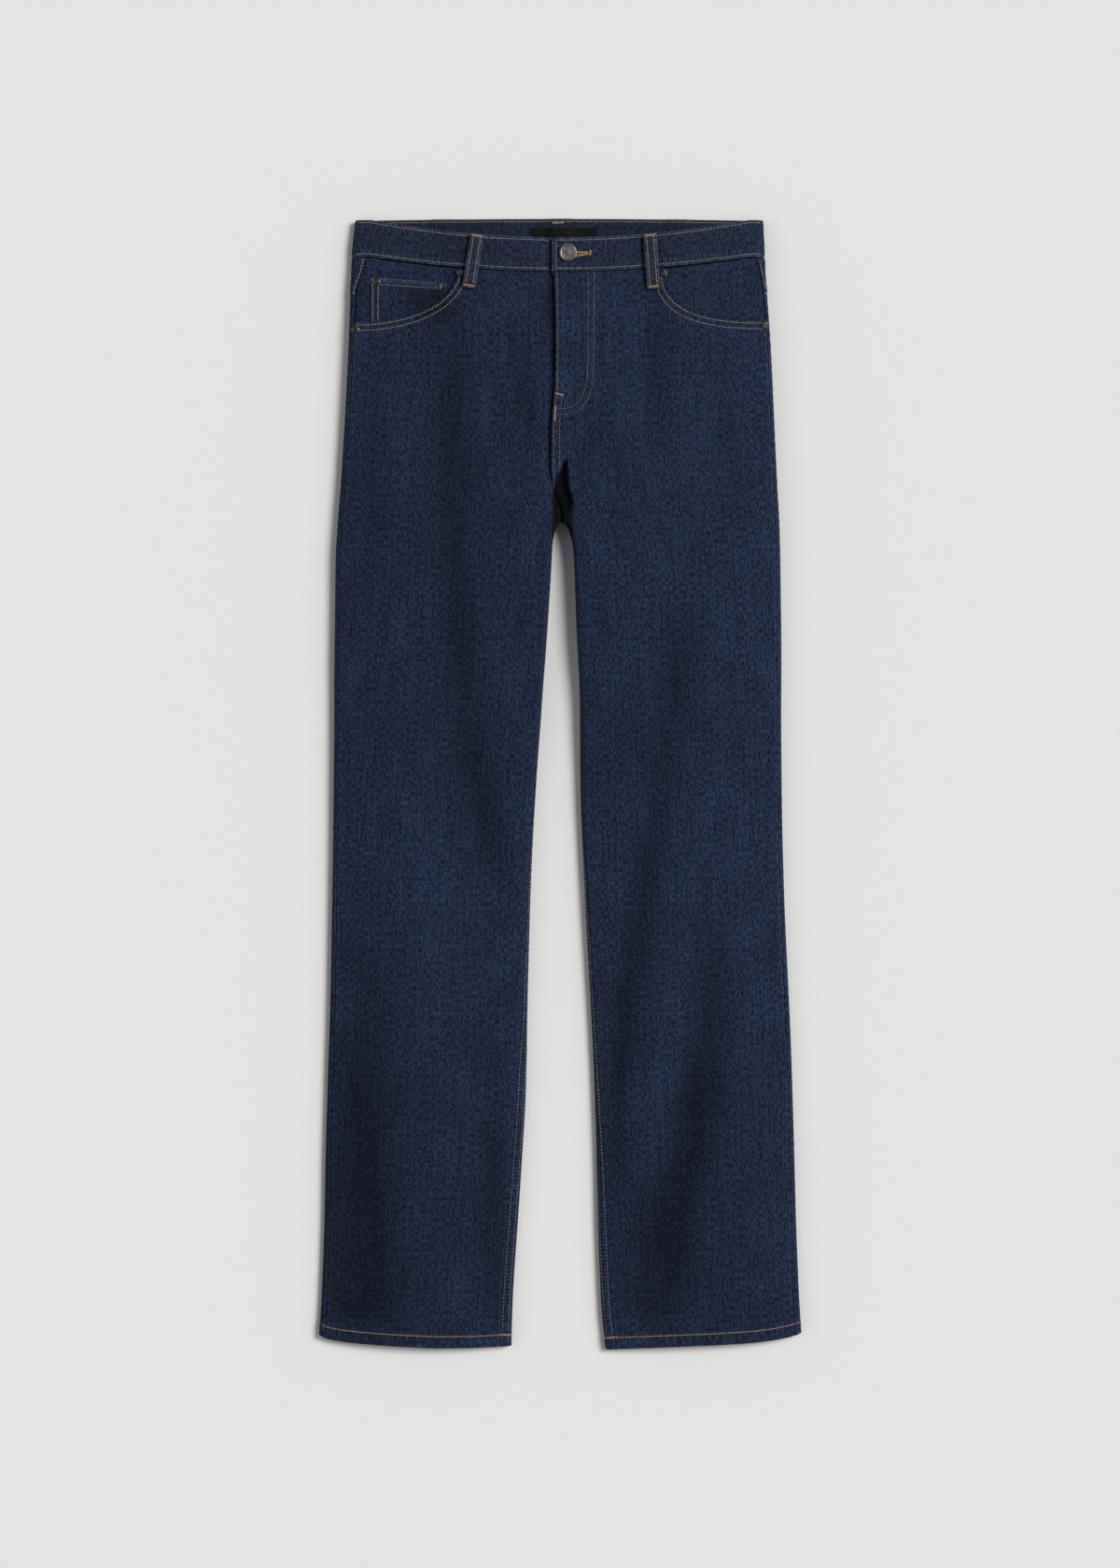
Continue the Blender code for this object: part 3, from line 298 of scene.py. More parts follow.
class Section:
    # A cut across one leg, or across half the seat, at a row's y. It runs from the inner edge over the
    # top to the side fold and back underneath, as q (out from the middle of the garment) and z.
    points = 260

    def __init__(self, side, y, proud=0.0):
        g = garment
        self.side, self.y = side, y
        seated = y > g["crotch"]
        middle = 0.5 * innerFoldAt(g["crotch"])
        if seated:
            inner = side * flyX(y) + g["seam"] / 2
            underEnd = middle * (1 - float(quarter((y - g["crotch"]) / g["seatRise"])))
        else:
            inner = side * g["crotchX"] + g["seam"] / 2
            inner += (innerEdge[side](y) - inner) * float(quarter((g["crotch"] - y) / g["web"]))
            underEnd = 0.5 * innerFoldAt(y)
        outer = sideEdge[side](y) + 0.6 * proud
        sideFold, crown = sideFoldAt(y) + proud, crownAt(y) + proud
        spread = (1 - np.cos(np.linspace(0, np.pi, self.points))) / 2
        q = inner + (outer - inner) * spread
        share = (outer - q) / (outer - inner)
        split = ease((360 - y) / 135)
        arch = np.clip(np.sin(np.pi * share * (0.5 + 0.5 * split)), 0, 1) ** 0.85
        fold = sideFold + (innerFoldAt(y) - sideFold) * ease(share)
        plateau = fold + (crown - fold) * arch
        hills = foldHeight(side * q, y, folds)
        plateau = plateau + hills * ease((outer - q) / 25) * ease((q - inner) / 25 + 1 - split)
        if y >= g["valleyTop"]:
            topEnd = plateau[0]
        elif seated:
            sunk = float(quarter((y - g["crotch"]) / (g["valleyTop"] - g["crotch"])))
            topEnd = middle + (plateau[0] - middle) * sunk
        else:
            topEnd = underEnd
        sideRound, innerRound = 0.6 * sideFold, innerRoundAt(y)
        over = plateau * (0.5 + 0.5 * quarter((outer - q) / sideRound))
        top = topEnd + (over - topEnd) * quarter((q - inner) / innerRound)
        underRound = max(innerRound, 11.0) if seated else innerRound
        centre = side * centreBack(y) if seated else inner
        under = 0.5 * sideFold * (1 - quarter((outer - q) / sideRound))
        under = under + underEnd * (1 - quarter((q - centre) / underRound))
        under[-1] = top[-1]
        self.q = np.concatenate([q, q[-2::-1]])
        self.z = np.concatenate([top, under[-2::-1]])
        self.arc = np.concatenate([[0.0], np.cumsum(np.hypot(np.diff(self.q), np.diff(self.z)))])
        self.length, self.sideArc = self.arc[-1], self.arc[self.points - 1]
        self.inner, self.outer, self.seated = inner, outer, seated
        self.tq, self.tz = np.gradient(self.q, self.arc), np.gradient(self.z, self.arc)

    def at(self, arcs):
        # q, z and the outward direction at these distances along the cut
        arcs = np.asarray(arcs, float)
        wrapped = arcs if self.seated else arcs % self.length
        q, z = np.interp(wrapped, self.arc, self.q), np.interp(wrapped, self.arc, self.z)
        tq, tz = np.interp(wrapped, self.arc, self.tq), np.interp(wrapped, self.arc, self.tz)
        if self.seated:
            q = q + np.minimum(arcs, 0) - np.maximum(arcs - self.length, 0)
            tz = np.where((arcs < 0) | (arcs > self.length), 0.0, tz)
            tq = np.where(arcs < 0, 1.0, np.where(arcs > self.length, -1.0, tq))
        size = np.maximum(np.hypot(tq, tz), 1e-9)
        return q, z, -tz / size, tq / size

    def topArc(self, q):
        return np.interp(q, self.q[: self.points], self.arc[: self.points])

    def underArc(self, q):
        beyond = np.maximum(0.0, self.inner - np.asarray(q, float))
        return np.interp(-np.asarray(q, float), -self.q[self.points - 1 :], self.arc[self.points - 1 :]) + beyond

    def sideSeam(self):
        return float(self.topArc(self.outer - sideSeamAt[self.side](self.y)))

    def inseam(self):
        return 0.0 if self.seated else float(self.topArc(self.inner + inseamAt[self.side](self.y)))

    def frontStart(self):
        return 0.0 if self.seated else self.inseam() + garment["seam"] / 2

    def underEnd(self):
        half = garment["seam"] / 2
        if self.seated:
            return float(self.underArc(self.side * centreBack(self.y) + half))
        return self.length + self.inseam() - half


def waistDip(x):
    return np.maximum(0.0, 1 - (x / garment["dipHalf"]) ** 2)


def hemRise(side, q, y):
    inner, outer = innerEdge[side](y), sideEdge[side](y)
    u = np.clip((q - inner) / (outer - inner), 0.0, 1.0)
    near = float(ease((-440 - y) / 110))
    return near * np.interp(u, hemLine["across"], hemLine[sideNames[side]])


def flyShare(y):
    return float(ease((y - 290) / 30))


def placeFront(side, q, z, y):
    x = side * q
    z = z - np.where(z > 4.0, 6.5 * inValley(x, y) * float(ease((y - garment["crotch"] - 3) / 16)), 0.0)
    dip = garment["seamDip"] * waistDip(x) * float(ease((y - 400) / (garment["waistSeam"] - 400)))
    if side == right:  # sunk beside the fly, under the left front
        beyond = q - side * flyX(y)
        near = 1 - ease((beyond - 3) / 9.0)
        z = z - (garment["cloth"] + garment["seam"] + 2.2 * (1 - ease((beyond - 1) / 7.0))) * near * flyShare(y)
    return x, y - dip + hemRise(side, q, y), z


underside = {"patch": 1.2, "loop": 1.5, "loops": (-118.0, 0.0, 118.0), "loopRows": (500.0, 506.0)}


def ramp(value, low, high):
    return np.clip((value - low) / (high - low), 0.0, 1.0)


def liftAt(x, y):
    # how far the pockets and loops underneath raise the cloth that lies on them
    reach = np.abs(x)
    across = np.minimum(ramp(reach, 12, 22), 1 - ramp(reach, 182, 194))
    along = min(ramp(y, 276, 284), 1 - ramp(y, 458, 466))
    pocket = (underside["patch"] + garment["seam"]) * np.maximum(0.0, np.minimum(across, along))
    nearest = np.min([np.abs(x - centre) for centre in underside["loops"]], axis=0)
    beside = 1 - ramp(nearest, 7.5, 14.0)
    above = ramp(y, *underside["loopRows"])
    return np.maximum(pocket, (underside["loop"] + garment["seam"]) * np.minimum(beside, above))


def placeBack(side, q, z, y):
    g = garment
    x = side * q
    drop = g["yokeDrop"] * np.maximum(0.0, 1 - np.abs(x) / g["yokeHalf"])
    if y > g["yokeSeam"]:
        drop = drop * (g["waistSeam"] - y) / (g["waistSeam"] - g["yokeSeam"])
    else:
        drop = drop * float(ease((y - 300) / (g["yokeSeam"] - 300)))
    return x, y - drop + hemRise(side, q, y), z + np.where(z < 5.0, liftAt(x, y), 0.0)


band = {
    "cloth": 2.4,
    "proud": 0.8,
    "tuck": 27.0,
    "corner": 5.0,
    "wrap": 14.0,
    "stitchInset": 2.8,
}


def placeBand(side, q, z, y):
    g = garment
    x = side * q
    v = (y - g["waistSeam"]) / (g["bandTop"] - g["waistSeam"])
    beyond = q - side * flyX(y)
    dip = (g["seamDip"] + (g["topDip"] - g["seamDip"]) * v) * waistDip(x)
    if side == right:
        dropped = z - (band["cloth"] + g["seam"] + 0.15) * (1 - ease((beyond - 2) / 9.0))
        dropped = dropped - 1.2 * (1 - ease((beyond - 1) / 6.0))
        over = y - dip
    else:
        dropped = z
        over = y - dip - band["corner"] * (1 - quarter(beyond / band["corner"])) * v
    rise = v * g["backRise"] * np.maximum(0.0, 1 - (x / sideEdge[side](y)) ** 2)
    above = z > 5.0
    return x, np.where(above, over, y + rise), np.where(above, dropped, z + liftAt(x, y))


# ---- helpers that turn the form into meshes ----


def finishMesh(name, bm, material, sharp=50):
    mesh = bpy.data.meshes.new(name)
    bm.to_mesh(mesh)
    bm.free()
    mesh.shade_smooth()
    mesh.set_sharp_from_angle(angle=math.radians(sharp))
    obj = bpy.data.objects.new(name, mesh)
    bpy.context.scene.collection.objects.link(obj)
    if material:
        mesh.materials.append(material)
    return obj


def applied(obj):
    # the object with its modifiers made real
    bpy.context.view_layer.update()
    shape = obj.evaluated_get(bpy.context.evaluated_depsgraph_get())
    mesh = bpy.data.meshes.new_from_object(shape, preserve_all_data_layers=True, depsgraph=bpy.context.evaluated_depsgraph_get())
    obj.modifiers.clear()
    old, obj.data = obj.data, mesh
    mesh.name = obj.name
    bpy.data.meshes.remove(old)
    return obj


def gridPiece(name, grid, material, thickness, flip=False, sharp=50):
    # A sheet of cloth from a grid whose points, texture places, fading and painted shade come as arrays of rows,
    # given its thickness inwards
    rows, columns = grid["x"].shape
    bm = bmesh.new()
    bmesh.ops.create_grid(bm, x_segments=columns - 1, y_segments=rows - 1, size=0.5)
    uvLayer = bm.loops.layers.uv.new("cloth")
    fadeLayer = bm.verts.layers.float.new("fade")
    shadeLayer = bm.verts.layers.float.new("shade")
    shades = grid.get("shade", np.ones_like(grid["x"]))
    places = np.stack([grid["x"], grid["y"], grid["z"]], axis=-1) * mm
    for vert in bm.verts:
        i = round((vert.co.y + 0.5) * (rows - 1))
        j = round((vert.co.x + 0.5) * (columns - 1))
        vert.tag = True
        vert.index = i * columns + j
        vert[fadeLayer] = float(grid["fade"][i, j])
        vert[shadeLayer] = float(shades[i, j])
    us, vs = grid["u"].ravel() * mm, grid["v"].ravel() * mm
    for face in bm.faces:
        for loop in face.loops:
            loop[uvLayer].uv = (us[loop.vert.index], vs[loop.vert.index])
    flat = places.reshape(-1, 3)
    for vert in bm.verts:
        vert.co = flat[vert.index]
    if flip:
        bmesh.ops.reverse_faces(bm, faces=bm.faces)
    obj = finishMesh(name, bm, material, sharp)
    wall = obj.modifiers.new("thickness", "SOLIDIFY")
    wall.thickness, wall.offset = thickness * mm, -1
    wall.use_even_offset = False
    wall.use_quality_normals = True
    applied(obj)
    obj.data.set_sharp_from_angle(angle=math.radians(sharp))
    return obj


def rowsThrough(*stretches):
    # rows from the first to the last y: each stretch is start, end and step
    rows = []
    for start, end, step in stretches:
        count = max(1, round(abs(end - start) / step))
        rows += list(np.linspace(start, end, count + 1)[:-1])
    return np.array(rows + [stretches[-1][1]])


def edgeSteps(*steps):
    return np.cumsum([0.0, *steps])


def sectionGrid(side, rows, columns, place, relief, proud=0.0):
    # columns(section) gives distances along each cut, relief(...) the height and fading added there
    keep = {key: [] for key in ("x", "y", "z", "u", "v", "fade", "shade")}
    for y in rows:
        cut = Section(side, y, proud)
        arcs = columns(cut)
        q, z, nq, nz = cut.at(arcs)
        x, placedY, placedZ = place(side, q, z, y)
        height, fade = relief(
            {
                "side": side, "row": y, "x": x, "y": placedY, "q": q, "arc": arcs, "cut": cut,
                "fromStart": arcs - arcs[0], "fromEnd": arcs[-1] - arcs, "up": nz,
            }
        )  # fmt: skip
        height = np.where(nz < 0, np.minimum(height, height * (1 + nz)), height)  # the underside stays flat
        keep["x"].append(x + side * nq * height)
        keep["y"].append(placedY + 0 * x)
        keep["z"].append(placedZ + nz * height)
        keep["u"].append(arcs)
        keep["v"].append(placedY + 0 * x)
        keep["fade"].append(fade + 0 * x)
        # painted shade and light on the upward faces
        keep["shade"].append(np.where(nz > 0, shadeAt(x, y), 1.0))
    return {key: np.array(value) for key, value in keep.items()}


def distanceTo(path, x, y):
    # the distance from points to a line of (x, y) points
    best = np.full(np.shape(x), 1e9)
    for (x0, y0), (x1, y1) in zip(path, path[1:]):
        dx, dy = x1 - x0, y1 - y0
        t = np.clip(((x - x0) * dx + (y - y0) * dy) / (dx * dx + dy * dy + 1e-9), 0, 1)
        best = np.minimum(best, np.hypot(x - x0 - t * dx, y - y0 - t * dy))
    return best


def ride(obj, slotName, *nodes):
    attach(obj, "root")
    if nodes:
        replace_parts(obj, *nodes)
    return obj


# ---- materials ----


def addNode(tree, kind, inputs=None, **settings):
    made = tree.nodes.new(kind)
    for key, value in settings.items():
        setattr(made, key, value)
    for key, value in (inputs or {}).items():
        if isinstance(value, bpy.types.NodeSocket):
            tree.links.new(value, made.inputs[key])
        else:
            made.inputs[key].default_value = value
    return made


def mathNode(tree, operation, a, b=0.0, clamp=False):
    made = addNode(tree, "ShaderNodeMath", {0: a, 1: b}, operation=operation, use_clamp=clamp)
    return made.outputs[0]


def mixColour(tree, factor, a, b, blend="MIX"):
    made = addNode(tree, "ShaderNodeMix", data_type="RGBA", blend_type=blend)
    for socket, value in ((made.inputs["Factor"], factor), (made.inputs[6], a), (made.inputs[7], b)):
        if isinstance(value, bpy.types.NodeSocket):
            tree.links.new(value, socket)
        else:
            socket.default_value = value
    return made.outputs[2]


def newGroup(name, inputs, outputs):
    tree = bpy.data.node_groups.new(name, "ShaderNodeTree")
    for socketName, kind, value in inputs:
        socket = tree.interface.new_socket(name=socketName, in_out="INPUT", socket_type=kind)
        if value is not None:
            socket.default_value = value
    for socketName, kind in outputs:
        tree.interface.new_socket(name=socketName, in_out="OUTPUT", socket_type=kind)
    return tree, tree.nodes.new("NodeGroupInput").outputs, tree.nodes.new("NodeGroupOutput").inputs


def scaled(tree, vector, scale):
    return addNode(tree, "ShaderNodeMapping", {"Vector": vector, "Scale": scale}).outputs[0]


def noiseValue(tree, vector, scale, detail=2.0, roughness=0.5):
    made = addNode(tree, "ShaderNodeTexNoise", {"Vector": vector, "Scale": scale, "Detail": detail, "Roughness": roughness})
    return made.outputs["Fac"]


def makeTwillGroup():
    # Dark warp over pale weft in slanting ridges, with slubs along the warp, flecks and broad patches
    tree, given, out = newGroup(
        "twill weave",
        [
            ("Cloth Place", "NodeSocketVector", None),
            ("Warp", "NodeSocketColor", (0.02, 0.03, 0.06, 1)),
            ("Weft", "NodeSocketColor", (0.2, 0.25, 0.33, 1)),
            ("Worn", "NodeSocketColor", (0.1, 0.13, 0.2, 1)),
            ("Fade", "NodeSocketFloat", 0.0),
            ("Shade", "NodeSocketFloat", 1.0),
            ("Fleck", "NodeSocketFloat", 0.5),
            ("Slub", "NodeSocketFloat", 0.5),
        ],
        [("Colour", "NodeSocketColor"), ("Height", "NodeSocketFloat")],
    )
    place = given["Cloth Place"]
    ridges = addNode(
        tree, "ShaderNodeTexWave", {"Vector": place, "Scale": 430.0, "Distortion": 1.2, "Detail": 1.0, "Detail Scale": 2.0},
        wave_type="BANDS", bands_direction="DIAGONAL",
    ).outputs["Fac"]  # fmt: skip
    grain = noiseValue(tree, scaled(tree, place, (500.0, 240.0, 1.0)), 1.0, 2.0, 0.65)
    threads = noiseValue(tree, scaled(tree, place, (1500.0, 700.0, 1.0)), 1.0, 2.0, 0.6)
    slubs = noiseValue(tree, scaled(tree, place, (330.0, 15.0, 1.0)), 1.0, 3.0, 0.6)
    patches = noiseValue(tree, place, 24.0, 4.0, 0.6)
    broad = noiseValue(tree, place, 6.0, 2.0, 0.5)
    hues = noiseValue(tree, scaled(tree, place, (150.0, 90.0, 1.0)), 1.0, 2.0, 0.6)
    grainMask = addNode(tree, "ShaderNodeMapRange", {"Value": grain, "From Min": 0.4, "From Max": 0.62}).outputs[0]
    pale = mathNode(tree, "MULTIPLY", grainMask, given["Fleck"])
    pale = mathNode(tree, "ADD", pale, mathNode(tree, "MULTIPLY", mathNode(tree, "SUBTRACT", slubs, 0.5), given["Slub"]))
    pale = mathNode(tree, "ADD", pale, mathNode(tree, "MULTIPLY", mathNode(tree, "MULTIPLY", ridges, threads), 0.3))
    woven = mixColour(tree, mathNode(tree, "MULTIPLY", pale, 1.0, True), given["Warp"], given["Weft"])
    worn = mathNode(tree, "MULTIPLY", given["Fade"], mathNode(tree, "ADD", 0.35, mathNode(tree, "MULTIPLY", grainMask, 1.1)), True)
    woven = mixColour(tree, worn, woven, given["Worn"])
    hueMask = addNode(tree, "ShaderNodeMapRange", {"Value": hues, "From Min": 0.3, "From Max": 0.7}).outputs[0]
    woven = mixColour(tree, 1.0, woven, mixColour(tree, hueMask, (1.16, 0.95, 1.02, 1), (0.84, 1.06, 0.99, 1)), "MULTIPLY")
    depth = mathNode(tree, "ADD", mathNode(tree, "MULTIPLY", patches, 0.5), mathNode(tree, "MULTIPLY", broad, 0.4))
    # the Shade input multiplies in the painted shade and light baked on the cloth
    depth = mathNode(tree, "MULTIPLY", mathNode(tree, "ADD", depth, 0.57), given["Shade"])
    tint = addNode(tree, "ShaderNodeCombineColor", {0: depth, 1: depth, 2: depth}).outputs[0]
    tree.links.new(mixColour(tree, 1.0, woven, tint, "MULTIPLY"), out["Colour"])
    height = mathNode(tree, "ADD", mathNode(tree, "MULTIPLY", ridges, 0.6), mathNode(tree, "MULTIPLY", slubs, 0.8))
    height = mathNode(tree, "ADD", height, mathNode(tree, "MULTIPLY", grain, 1.6))
    tree.links.new(height, out["Height"])
    return tree


twillGroup = makeTwillGroup()

denimLooks = {
    "denim": {"warp": (0.0024, 0.0052, 0.0175), "weft": (0.0237, 0.038, 0.0805), "worn": (0.06, 0.085, 0.14), "fleck": 0.72, "slub": 0.9},
    "band denim": {"warp": (0.003, 0.0055, 0.0175), "weft": (0.0252, 0.0376, 0.0706), "worn": (0.07, 0.095, 0.15), "fleck": 0.74, "slub": 0.8},
    "inside denim": {"warp": (0.0026, 0.0052, 0.016), "weft": (0.0215, 0.032, 0.06), "worn": (0.06, 0.08, 0.12), "fleck": 0.7, "slub": 0.7},
}


def newMaterial(name):
    material = bpy.data.materials.new(name)
    material.use_nodes = True
    tree = material.node_tree
    return material, tree, tree.nodes["Principled BSDF"]


def makeDenim(name, look, ownMap=True):
    material, tree, shader = newMaterial(name)
    if ownMap:
        place = addNode(tree, "ShaderNodeUVMap", uv_map="cloth").outputs[0]
        fade = addNode(tree, "ShaderNodeAttribute", attribute_name="fade").outputs["Fac"]
        # the painted shade baked into the cloth
        shade = addNode(tree, "ShaderNodeAttribute", attribute_name="shade").outputs["Fac"]
    else:
        place, fade, shade = addNode(tree, "ShaderNodeTexCoord").outputs["Object"], 0.05, 1.0
    weave = addNode(
        tree,
        "ShaderNodeGroup",
        node_tree=twillGroup,
    )
    for key, value in (("Cloth Place", place), ("Fade", fade), ("Shade", shade)):
        if isinstance(value, bpy.types.NodeSocket):
            tree.links.new(value, weave.inputs[key])
        else:
            weave.inputs[key].default_value = value
    for key in ("Warp", "Weft", "Worn"):
        weave.inputs[key].default_value = (*look[key.lower()], 1)
    weave.inputs["Fleck"].default_value = look["fleck"]
    weave.inputs["Slub"].default_value = look["slub"]
    relief = addNode(tree, "ShaderNodeBump", {"Height": weave.outputs["Height"], "Strength": 0.55, "Distance": 0.00022})
    tree.links.new(weave.outputs["Colour"], shader.inputs["Base Color"])
    tree.links.new(relief.outputs[0], shader.inputs["Normal"])
    shader.inputs["Roughness"].default_value = 0.88
    shader.inputs["Specular IOR Level"].default_value = 0.12
    shader.inputs["Sheen Weight"].default_value = 0.03
    shader.inputs["Sheen Roughness"].default_value = 0.45
    shader.inputs["Sheen Tint"].default_value = (0.55, 0.62, 0.8, 1)
    return material


def makeThread(name, colour, pale):
    # twisted thread, uneven in colour from stitch to stitch
    material, tree, shader = newMaterial(name)
    place = addNode(tree, "ShaderNodeTexCoord").outputs["Object"]
    uneven = noiseValue(tree, place, 210.0, 2.0, 0.6)
    twist = addNode(tree, "ShaderNodeTexWave", {"Vector": place, "Scale": 900.0, "Distortion": 0.5}, bands_direction="DIAGONAL").outputs["Fac"]
    share = mathNode(tree, "MULTIPLY", mathNode(tree, "SUBTRACT", uneven, 0.3), 1.5, True)
    dyed = mixColour(tree, share, (*colour, 1), (*pale, 1))
    dyed = mixColour(tree, mathNode(tree, "MULTIPLY", twist, 0.22), dyed, (0.1, 0.06, 0.035, 1))
    tree.links.new(dyed, shader.inputs["Base Color"])
    relief = addNode(tree, "ShaderNodeBump", {"Height": twist, "Strength": 0.6, "Distance": 0.0001})
    tree.links.new(relief.outputs[0], shader.inputs["Normal"])
    shader.inputs["Roughness"].default_value = 0.6
    shader.inputs["Sheen Weight"].default_value = 0.2
    return material


def makeMetal(name, colour, worn, roughness):
    material, tree, shader = newMaterial(name)
    place = addNode(tree, "ShaderNodeTexCoord").outputs["Object"]
    blotch = noiseValue(tree, place, 420.0, 4.0, 0.6)
    grain = noiseValue(tree, place, 2600.0, 2.0, 0.6)
    share = addNode(tree, "ShaderNodeMapRange", {"Value": blotch, "From Min": 0.35, "From Max": 0.7}).outputs[0]
    tree.links.new(mixColour(tree, share, (*colour, 1), (*worn, 1)), shader.inputs["Base Color"])
    rough = mathNode(tree, "ADD", roughness, mathNode(tree, "MULTIPLY", grain, 0.25))
    tree.links.new(rough, shader.inputs["Roughness"])
    relief = addNode(tree, "ShaderNodeBump", {"Height": blotch, "Strength": 0.3, "Distance": 0.0001})
    tree.links.new(relief.outputs[0], shader.inputs["Normal"])
    shader.inputs["Metallic"].default_value = 1.0
    return material


def makeLabelCloth():
    material, tree, shader = newMaterial("black satin weave")
    place = addNode(tree, "ShaderNodeTexCoord").outputs["Object"]
    ribs = addNode(tree, "ShaderNodeTexWave", {"Vector": place, "Scale": 700.0, "Distortion": 0.4}, bands_direction="X").outputs["Fac"]
    dust = noiseValue(tree, place, 700.0, 3.0, 0.7)
    dyed = mixColour(tree, mathNode(tree, "MULTIPLY", dust, 0.35), (0.002, 0.002, 0.0022, 1), (0.012, 0.012, 0.013, 1))
    tree.links.new(dyed, shader.inputs["Base Color"])
    relief = addNode(tree, "ShaderNodeBump", {"Height": ribs, "Strength": 0.4, "Distance": 0.0001})
    tree.links.new(relief.outputs[0], shader.inputs["Normal"])
    shader.inputs["Roughness"].default_value = 0.7
    shader.inputs["Specular IOR Level"].default_value = 0.12
    return material


denim = makeDenim("indigo denim", denimLooks["denim"])
bandDenim = makeDenim("waistband denim", denimLooks["band denim"])
insideDenim = makeDenim("waistband inside", denimLooks["inside denim"])
plainDenim = makeDenim("indigo denim underneath", denimLooks["denim"], ownMap=False)
tanThread = makeThread("tan thread", (0.27, 0.165, 0.09), (0.47, 0.34, 0.225))
browned = makeThread("dim tan thread", (0.14, 0.09, 0.055), (0.28, 0.2, 0.135))
dullThread = makeThread("brown thread", (0.2, 0.15, 0.115), (0.42, 0.35, 0.3))
orangeThread = makeThread("orange thread", (0.36, 0.17, 0.06), (0.52, 0.3, 0.14))
# near-black, used only as painted shadow inside the buttonhole's slit
paintedSlitShadow = makeThread("painted slit shadow", (0.02, 0.02, 0.03), (0.05, 0.05, 0.07))
buttonMetal = makeMetal("antique nickel", (0.15, 0.137, 0.128), (0.27, 0.25, 0.235), 0.38)
rivetMetal = makeMetal("dark rivet nickel", (0.035, 0.032, 0.03), (0.1, 0.092, 0.085), 0.36)
labelCloth = makeLabelCloth()
print("materials made")

# ---- lines that are sewn or cut on the fronts ----

mouth = {
    "top": 512.0,
    "centre": {right: 202.4, left: 205.0},
    "width": {right: 101.6, left: 102.6},
    "depth": {right: 55.0, left: 53.0},
    "power": {right: 2.15, left: 2.75},
}
fly = {
    # the outer row of the fly's stitching, from the waist seam down and round to the fly's edge
    "outer": [
        (33.5, 508), (33.5, 440), (33.2, 414.5), (32.7, 402), (31.5, 391.5), (28.9, 383), (25.7, 376.5), (20.8, 370.8),
        (15.8, 367.4), (5.9, 365), (-4.6, 364.6),
    ],
    "inner": [
        (27.9, 508), (27.9, 440), (27.4, 414.5), (26.7, 402.5), (25.7, 394.7), (23.3, 386.4), (20, 379.9), (15.8, 375.2),
        (12.5, 372.4), (4.3, 370.5), (-4.2, 370.6),
    ],
}


def mouthPoint(side, turn, inset=0.0):
    # a point of the pocket mouth's curve, or of a line sewn at this distance inside the front's edge
    wide, deep, power = mouth["width"][side] + inset, mouth["depth"][side] + inset, 2 / mouth["power"][side]
    reach = mouth["centre"][side] - wide * abs(math.cos(turn)) ** power
    return side * reach, mouth["top"] - deep * math.sin(turn) ** power


def mouthPath(side, inset, steps=40, start=0.0, end=90.0):
    turns = np.radians(np.linspace(start, end, steps))
    return [mouthPoint(side, float(turn), inset) for turn in turns]


mouthPaths = {side: mouthPath(side, 0.0) for side in (right, left)}

# ---- the legs ----

legs = {
    "edge": edgeSteps(0.6, 0.7, 0.8, 1.0, 1.2, 1.4, 1.7, 2.0, 2.2),
    "step": 2.6,
    "seamWave": 9.0,
    "ropeWave": 7.5,
    "hemDepth": 13.0,
    "flyTuck": 5.0,
}


def hemRelief(side, y, x):
    # the turned-up hem: its thickness, its rolled foot, the stitched groove and the slanting ropes
    h = y - garment["hemFoot"][side]
    if h > 20:
        return 0.0, 0.0
    thick = 0.45 * (1 - ease((h - legs["hemDepth"] + 0.5) / 1.2))
    roll = -1.0 * (1 - quarter(h / 1.8))
    groove = -0.35 * bump(h - 11.6, 0.9)
    rope = ripple(x + 0.35 * h, legs["ropeWave"], 3 + side)
    inHem = ease(h / 3) * (1 - ease((h - 10) / 2.5))
    fade = 0.16 * bump(h, 1.3) + inHem * (0.3 * np.maximum(rope, 0) - 0.03) + 0.06 * bump(h - 12.8, 1.0)
    return thick + roll + groove + 0.38 * rope * inHem, fade


def seamEdge(distance, y, seed, roll=0.5, pucker=0.26, pale=0.16):
    # a panel's edge where it is turned under at a seam, and the puckers beside it
    wave = ripple(y, legs["seamWave"], seed)
    height = -roll * (1 - quarter(distance / 1.1)) + pucker * wave * bump(distance, 5.5)
    fade = pale * bump(distance - 0.6, 1.3) * (0.3 + 0.7 * patchNoise(y / 6.0, 0.0 * y, seed))
    return height, fade + 0.09 * np.maximum(wave, 0) * bump(distance, 6.0)


def clothUnevenness(x, y):
    slow = 0.5 * (patchNoise(x / 48, y / 75, 11) - 0.5) + 0.26 * (patchNoise(x / 17, y / 24, 12) - 0.5)
    return 2 * slow + foldHeight(x, y, creases)


